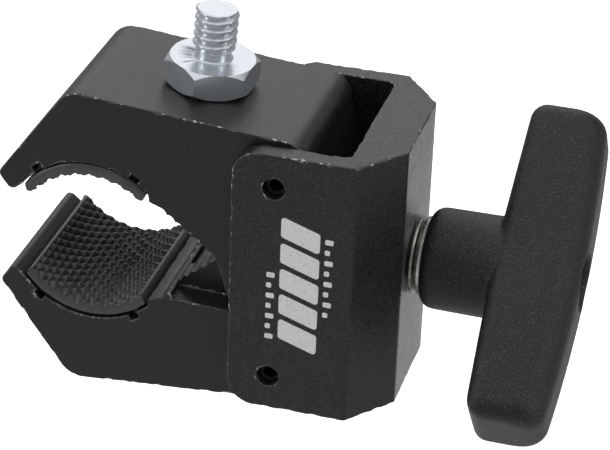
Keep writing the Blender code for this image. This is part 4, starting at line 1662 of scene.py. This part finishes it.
@dataclass
class Handle:
    """The moulded T-handle and the screw in its recess."""

    shop: Shop
    turn: float = math.radians(51.0)
    hub_front: float = 14.6 * MM
    hub_back: float = 14.8 * MM
    hub_rim: float = 1.9 * MM
    hub_length: float = 10.2 * MM
    thickness: float = 12.5 * MM
    length: float = 47.8 * MM
    width: float = 15.2 * MM
    end_width: float = 14.1 * MM
    front_taper: float = 0.7 * MM
    rear_taper: float = 1.2 * MM
    front_round: float = 2.1 * MM
    rear_round: float = 4.6 * MM
    end_round: float = 2.6 * MM
    insert_hole: float = 9.5 * MM
    collar_hole: float = 11.9 * MM
    recess: float = 7.6 * MM
    rim: float = 0.5 * MM
    voxel: float = 0.28 * MM
    soften: int = 10
    screw_head: float = 5.6 * MM
    screw_head_length: float = 2.2 * MM
    screw: float = 3.0 * MM
    socket: float = 2.5 * MM
    socket_depth: float = 1.2 * MM
    head_round: float = 0.25 * MM
    past: float = 1.0 * MM
    slack: float = 0.25 * MM
    overlap: float = 0.2 * MM

    def build(self) -> list[bpy.types.Object]:
        """Make the handle and its screw.

        Returns:
            The pieces, riding on the spindle.
        """
        return [stand_in(self.moulding(), "spindle", "t_handle"),
                stand_in(self.socket_screw(), "spindle", "handle_screw")]

    def bar(self, front: float, rear: float) -> bpy.types.Object:
        """Shape the bar, flat and tapering in front and bowed behind.

        Args:
            front: where its middle's front face lies along X.
            rear: where its middle's rear face lies.

        Returns:
            The bar, along Z.
        """
        half = self.length / 2
        ends = [self.end_round * (1 - math.cos(math.pi / 2 * step / 8)) for step in range(8)]
        count = 24
        inner = half - self.end_round
        stations = [-half + drop for drop in ends]
        stations += [-inner + 2 * inner * step / count for step in range(count + 1)]
        stations += [half - drop for drop in reversed(ends)]
        rows = []
        for z in stations:
            share = abs(z) / half
            inside = max(0.0, self.end_round - (half - abs(z)))
            shy = self.end_round - math.sqrt(max(0.0, self.end_round ** 2 - inside ** 2))
            side = self.width / 2 * (1 - (1 - self.end_width / self.width) * share * share) - shy
            fore = front + self.front_taper * share + shy
            aft = rear - self.rear_taper * share * share - shy
            small = max(0.1 * MM, self.front_round - shy)
            large = max(0.1 * MM, self.rear_round - shy)
            section = round_outline([(fore, -side, small), (aft, -side, large),
                                     (aft, side, large), (fore, side, small)], 8)
            rows.append([Vector((x, y, z)) for x, y in section])
        return Bench.grid("bar", rows)

    def moulding(self) -> bpy.types.Object:
        """Join bar and hub, flow them together and sink the recess."""
        insert_low, insert_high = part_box("handle_insert")
        low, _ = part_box("t_handle")
        hub = low.x
        front = hub + self.hub_length
        rear = front + self.thickness
        body = self.bar(front, rear)
        rim = arc((hub + self.hub_rim, self.hub_front / 2 - self.hub_rim), self.hub_rim,
                  math.pi / 2, math.pi, 8)
        inside = front + self.front_round
        hub_solid = Bench.turned("hub", [(inside, 0.0), (inside, self.hub_back / 2)] + rim
                                 + [(hub, 0.0)], 64)
        Bench.combine(body, [hub_solid], "UNION")
        remesh = body.modifiers.new("flow", "REMESH")
        remesh.mode = "VOXEL"
        remesh.voxel_size = self.voxel
        soften = body.modifiers.new("soften", "SMOOTH")
        soften.factor = 0.5
        soften.iterations = self.soften
        Bench.settle(body)
        hole_end = insert_high.x + self.slack
        collar_end = insert_low.x + ClosingScrew.collar_length + self.slack
        tools = [
            Bench.rod("hole", self.insert_hole, hub - self.past, hole_end, Axis.X),
            Bench.rod("counterbore", self.collar_hole, hub - self.past, collar_end, Axis.X),
            Bench.turned("recess", [
                (hole_end - self.overlap, 0.0), (hole_end - self.overlap, self.recess / 2),
                (rear - self.rim, self.recess / 2), (rear, self.recess / 2 + self.rim),
                (rear + self.rim, self.recess / 2 + 2 * self.rim),
                (rear + self.rim, 0.0)], 64)]
        Bench.combine(body, tools)
        body.name = "handle_moulding"
        Bench.move(body, Matrix.Rotation(-self.turn, 4, "X"))
        Bench.dress(body, self.shop.moulding)
        return Bench.smooth(body, math.radians(48))

    def socket_screw(self) -> bpy.types.Object:
        """Turn the socket screw."""
        low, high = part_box("handle_screw")
        seat = high.x - self.screw_head_length
        head = self.screw_head / 2
        edge = self.head_round
        profile = [(low.x, 0.0), (low.x, self.screw / 2), (seat, self.screw / 2), (seat, head)]
        profile += arc((high.x - edge, head - edge), edge, math.pi / 2, 0.0, 4)
        profile += [(high.x, 0.0)]
        body = Bench.turned("socket_screw", profile, 48)
        bore = Bench.rod("socket", self.socket / math.cos(math.pi / 6),
                         high.x - self.socket_depth, high.x + self.past, Axis.X, steps=6)
        Bench.combine(body, [bore])
        Bench.dress(body, self.shop.oxide)
        return Bench.smooth(body)


@dataclass
class Studio:
    """The floor, the lights and the camera."""

    shop: Shop
    drop: float = 0.48                  # from the clamp down to the floor
    floor: float = 6.0
    paper: float = 0.01
    azimuth: float = math.radians(14.788)
    elevation: float = math.radians(29.219)
    roll: float = math.radians(2.259)
    distance: float = 0.38009
    aim: tuple[float, float, float] = (0.028364, 0.0, 0.001636)
    lens: float = 156.87
    sensor: float = 36.0
    sky: float = 0.3
    softboxes: tuple[tuple[str, tuple[float, float, float], Point, float], ...] = (
        ("back_softbox", (-0.22, 0.75, 0.46), (0.9, 0.5), 1.5),
        ("top_panel", (0.0, 0.0, 1.0), (1.6, 1.6), 5.5),
        ("left_strip", (-0.60, -0.35, 0.30), (0.15, 0.6), 1.6),
        ("right_strip", (0.65, -0.10, 0.25), (0.2, 0.6), 1.0))
    spot_place: tuple[float, float, float] = (-0.21, 0.90, 1.1)     # above the floor
    spot_power: float = 60.0
    spot_cone: float = math.radians(46)
    spot_blend: float = 0.35
    spot_soft: float = 0.05

    def build(self) -> None:
        """Set everything up."""
        low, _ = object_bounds()
        ground = low.z - self.drop
        corners = [(-self.floor / 2, -self.floor / 2), (self.floor / 2, -self.floor / 2),
                   (self.floor / 2, self.floor / 2), (-self.floor / 2, self.floor / 2)]
        paper = Bench.prism("paper_floor", corners, ground - self.paper, ground)
        Bench.dress(paper, self.shop.paper)
        paper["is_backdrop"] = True
        self.world()
        self.lights(ground)
        self.camera()
        bpy.context.scene.view_settings.view_transform = "Standard"

    def world(self) -> None:
        """Fill the room with an even soft light."""
        room = bpy.data.worlds.new("room")
        room.use_nodes = True
        back = room.node_tree.nodes["Background"]
        back.inputs["Color"].default_value = (0.97, 0.985, 1.0, 1.0)
        back.inputs["Strength"].default_value = self.sky
        bpy.context.scene.world = room

    @staticmethod
    def hang(name: str, data: bpy.types.ID, place: Vector) -> bpy.types.Object:
        """Put a lamp or a camera in the scene."""
        made = bpy.data.objects.new(name, data)
        made.location = place
        bpy.context.scene.collection.objects.link(made)
        return made

    def softbox(self, name: str, place: Vector, target: Vector, size: Point,
                power: float) -> None:
        """Hang a rectangular softbox.

        Args:
            name: the lamp's name.
            place: where it hangs.
            target: what it faces.
            size: its width and height.
            power: its power in watts.
        """
        data = bpy.data.lights.new(name, "AREA")
        data.shape = "RECTANGLE"
        data.size, data.size_y = size
        data.energy = power
        lamp = self.hang(name, data, place)
        lamp.rotation_euler = (target - place).to_track_quat("-Z", "Y").to_euler()

    def lights(self, ground: float) -> None:
        """Hang the softboxes and light the paper behind.

        Args:
            ground: the floor's height.
        """
        middle = Vector(self.aim)
        for name, place, size, power in self.softboxes:
            self.softbox(name, Vector(place), middle, size, power)
        spot = bpy.data.lights.new("paper_spot", "SPOT")
        spot.energy = self.spot_power
        spot.spot_size = self.spot_cone
        spot.spot_blend = self.spot_blend
        spot.shadow_soft_size = self.spot_soft
        x, y, height = self.spot_place
        self.hang("paper_spot", spot, Vector((x, y, ground + height)))

    def camera(self) -> None:
        """Stand the camera at the viewing angle."""
        a, e, r = self.azimuth, self.elevation, self.roll
        back = Vector((math.sin(a) * math.cos(e), -math.cos(a) * math.cos(e), math.sin(e)))
        level = Vector((math.cos(a), math.sin(a), 0.0))
        up = back.cross(level)
        right = math.cos(r) * level + math.sin(r) * up
        upward = -math.sin(r) * level + math.cos(r) * up
        data = bpy.data.cameras.new("camera")
        data.lens = self.lens
        data.sensor_width = self.sensor
        data.clip_start = 0.01
        data.clip_end = 20.0
        place = Vector(self.aim) + back * self.distance
        camera = self.hang("camera", data, place)
        turn = Matrix((right, upward, back)).transposed()
        camera.matrix_world = Matrix.Translation(place) @ turn.to_4x4()
        bpy.context.scene.camera = camera


def main() -> None:
    """Build every sub-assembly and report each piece."""
    logging.basicConfig(level=logging.INFO, format="%(name)s: %(message)s")
    shop = Shop()
    shape = JawShape()
    jaws = Jaws(shop, shape)
    pieces = Yoke(shop).build()
    pieces += jaws.build()
    pieces += Stud(shop, shape).build(jaws.frame_of("upper"))
    pieces += ClosingScrew(shop).build()
    pieces += Handle(shop).build()
    for piece in pieces:
        LOG.info("%s: %d faces", piece.name, len(piece.data.polygons))
    Studio(shop).build()


if __name__ == "__main__":
    main()
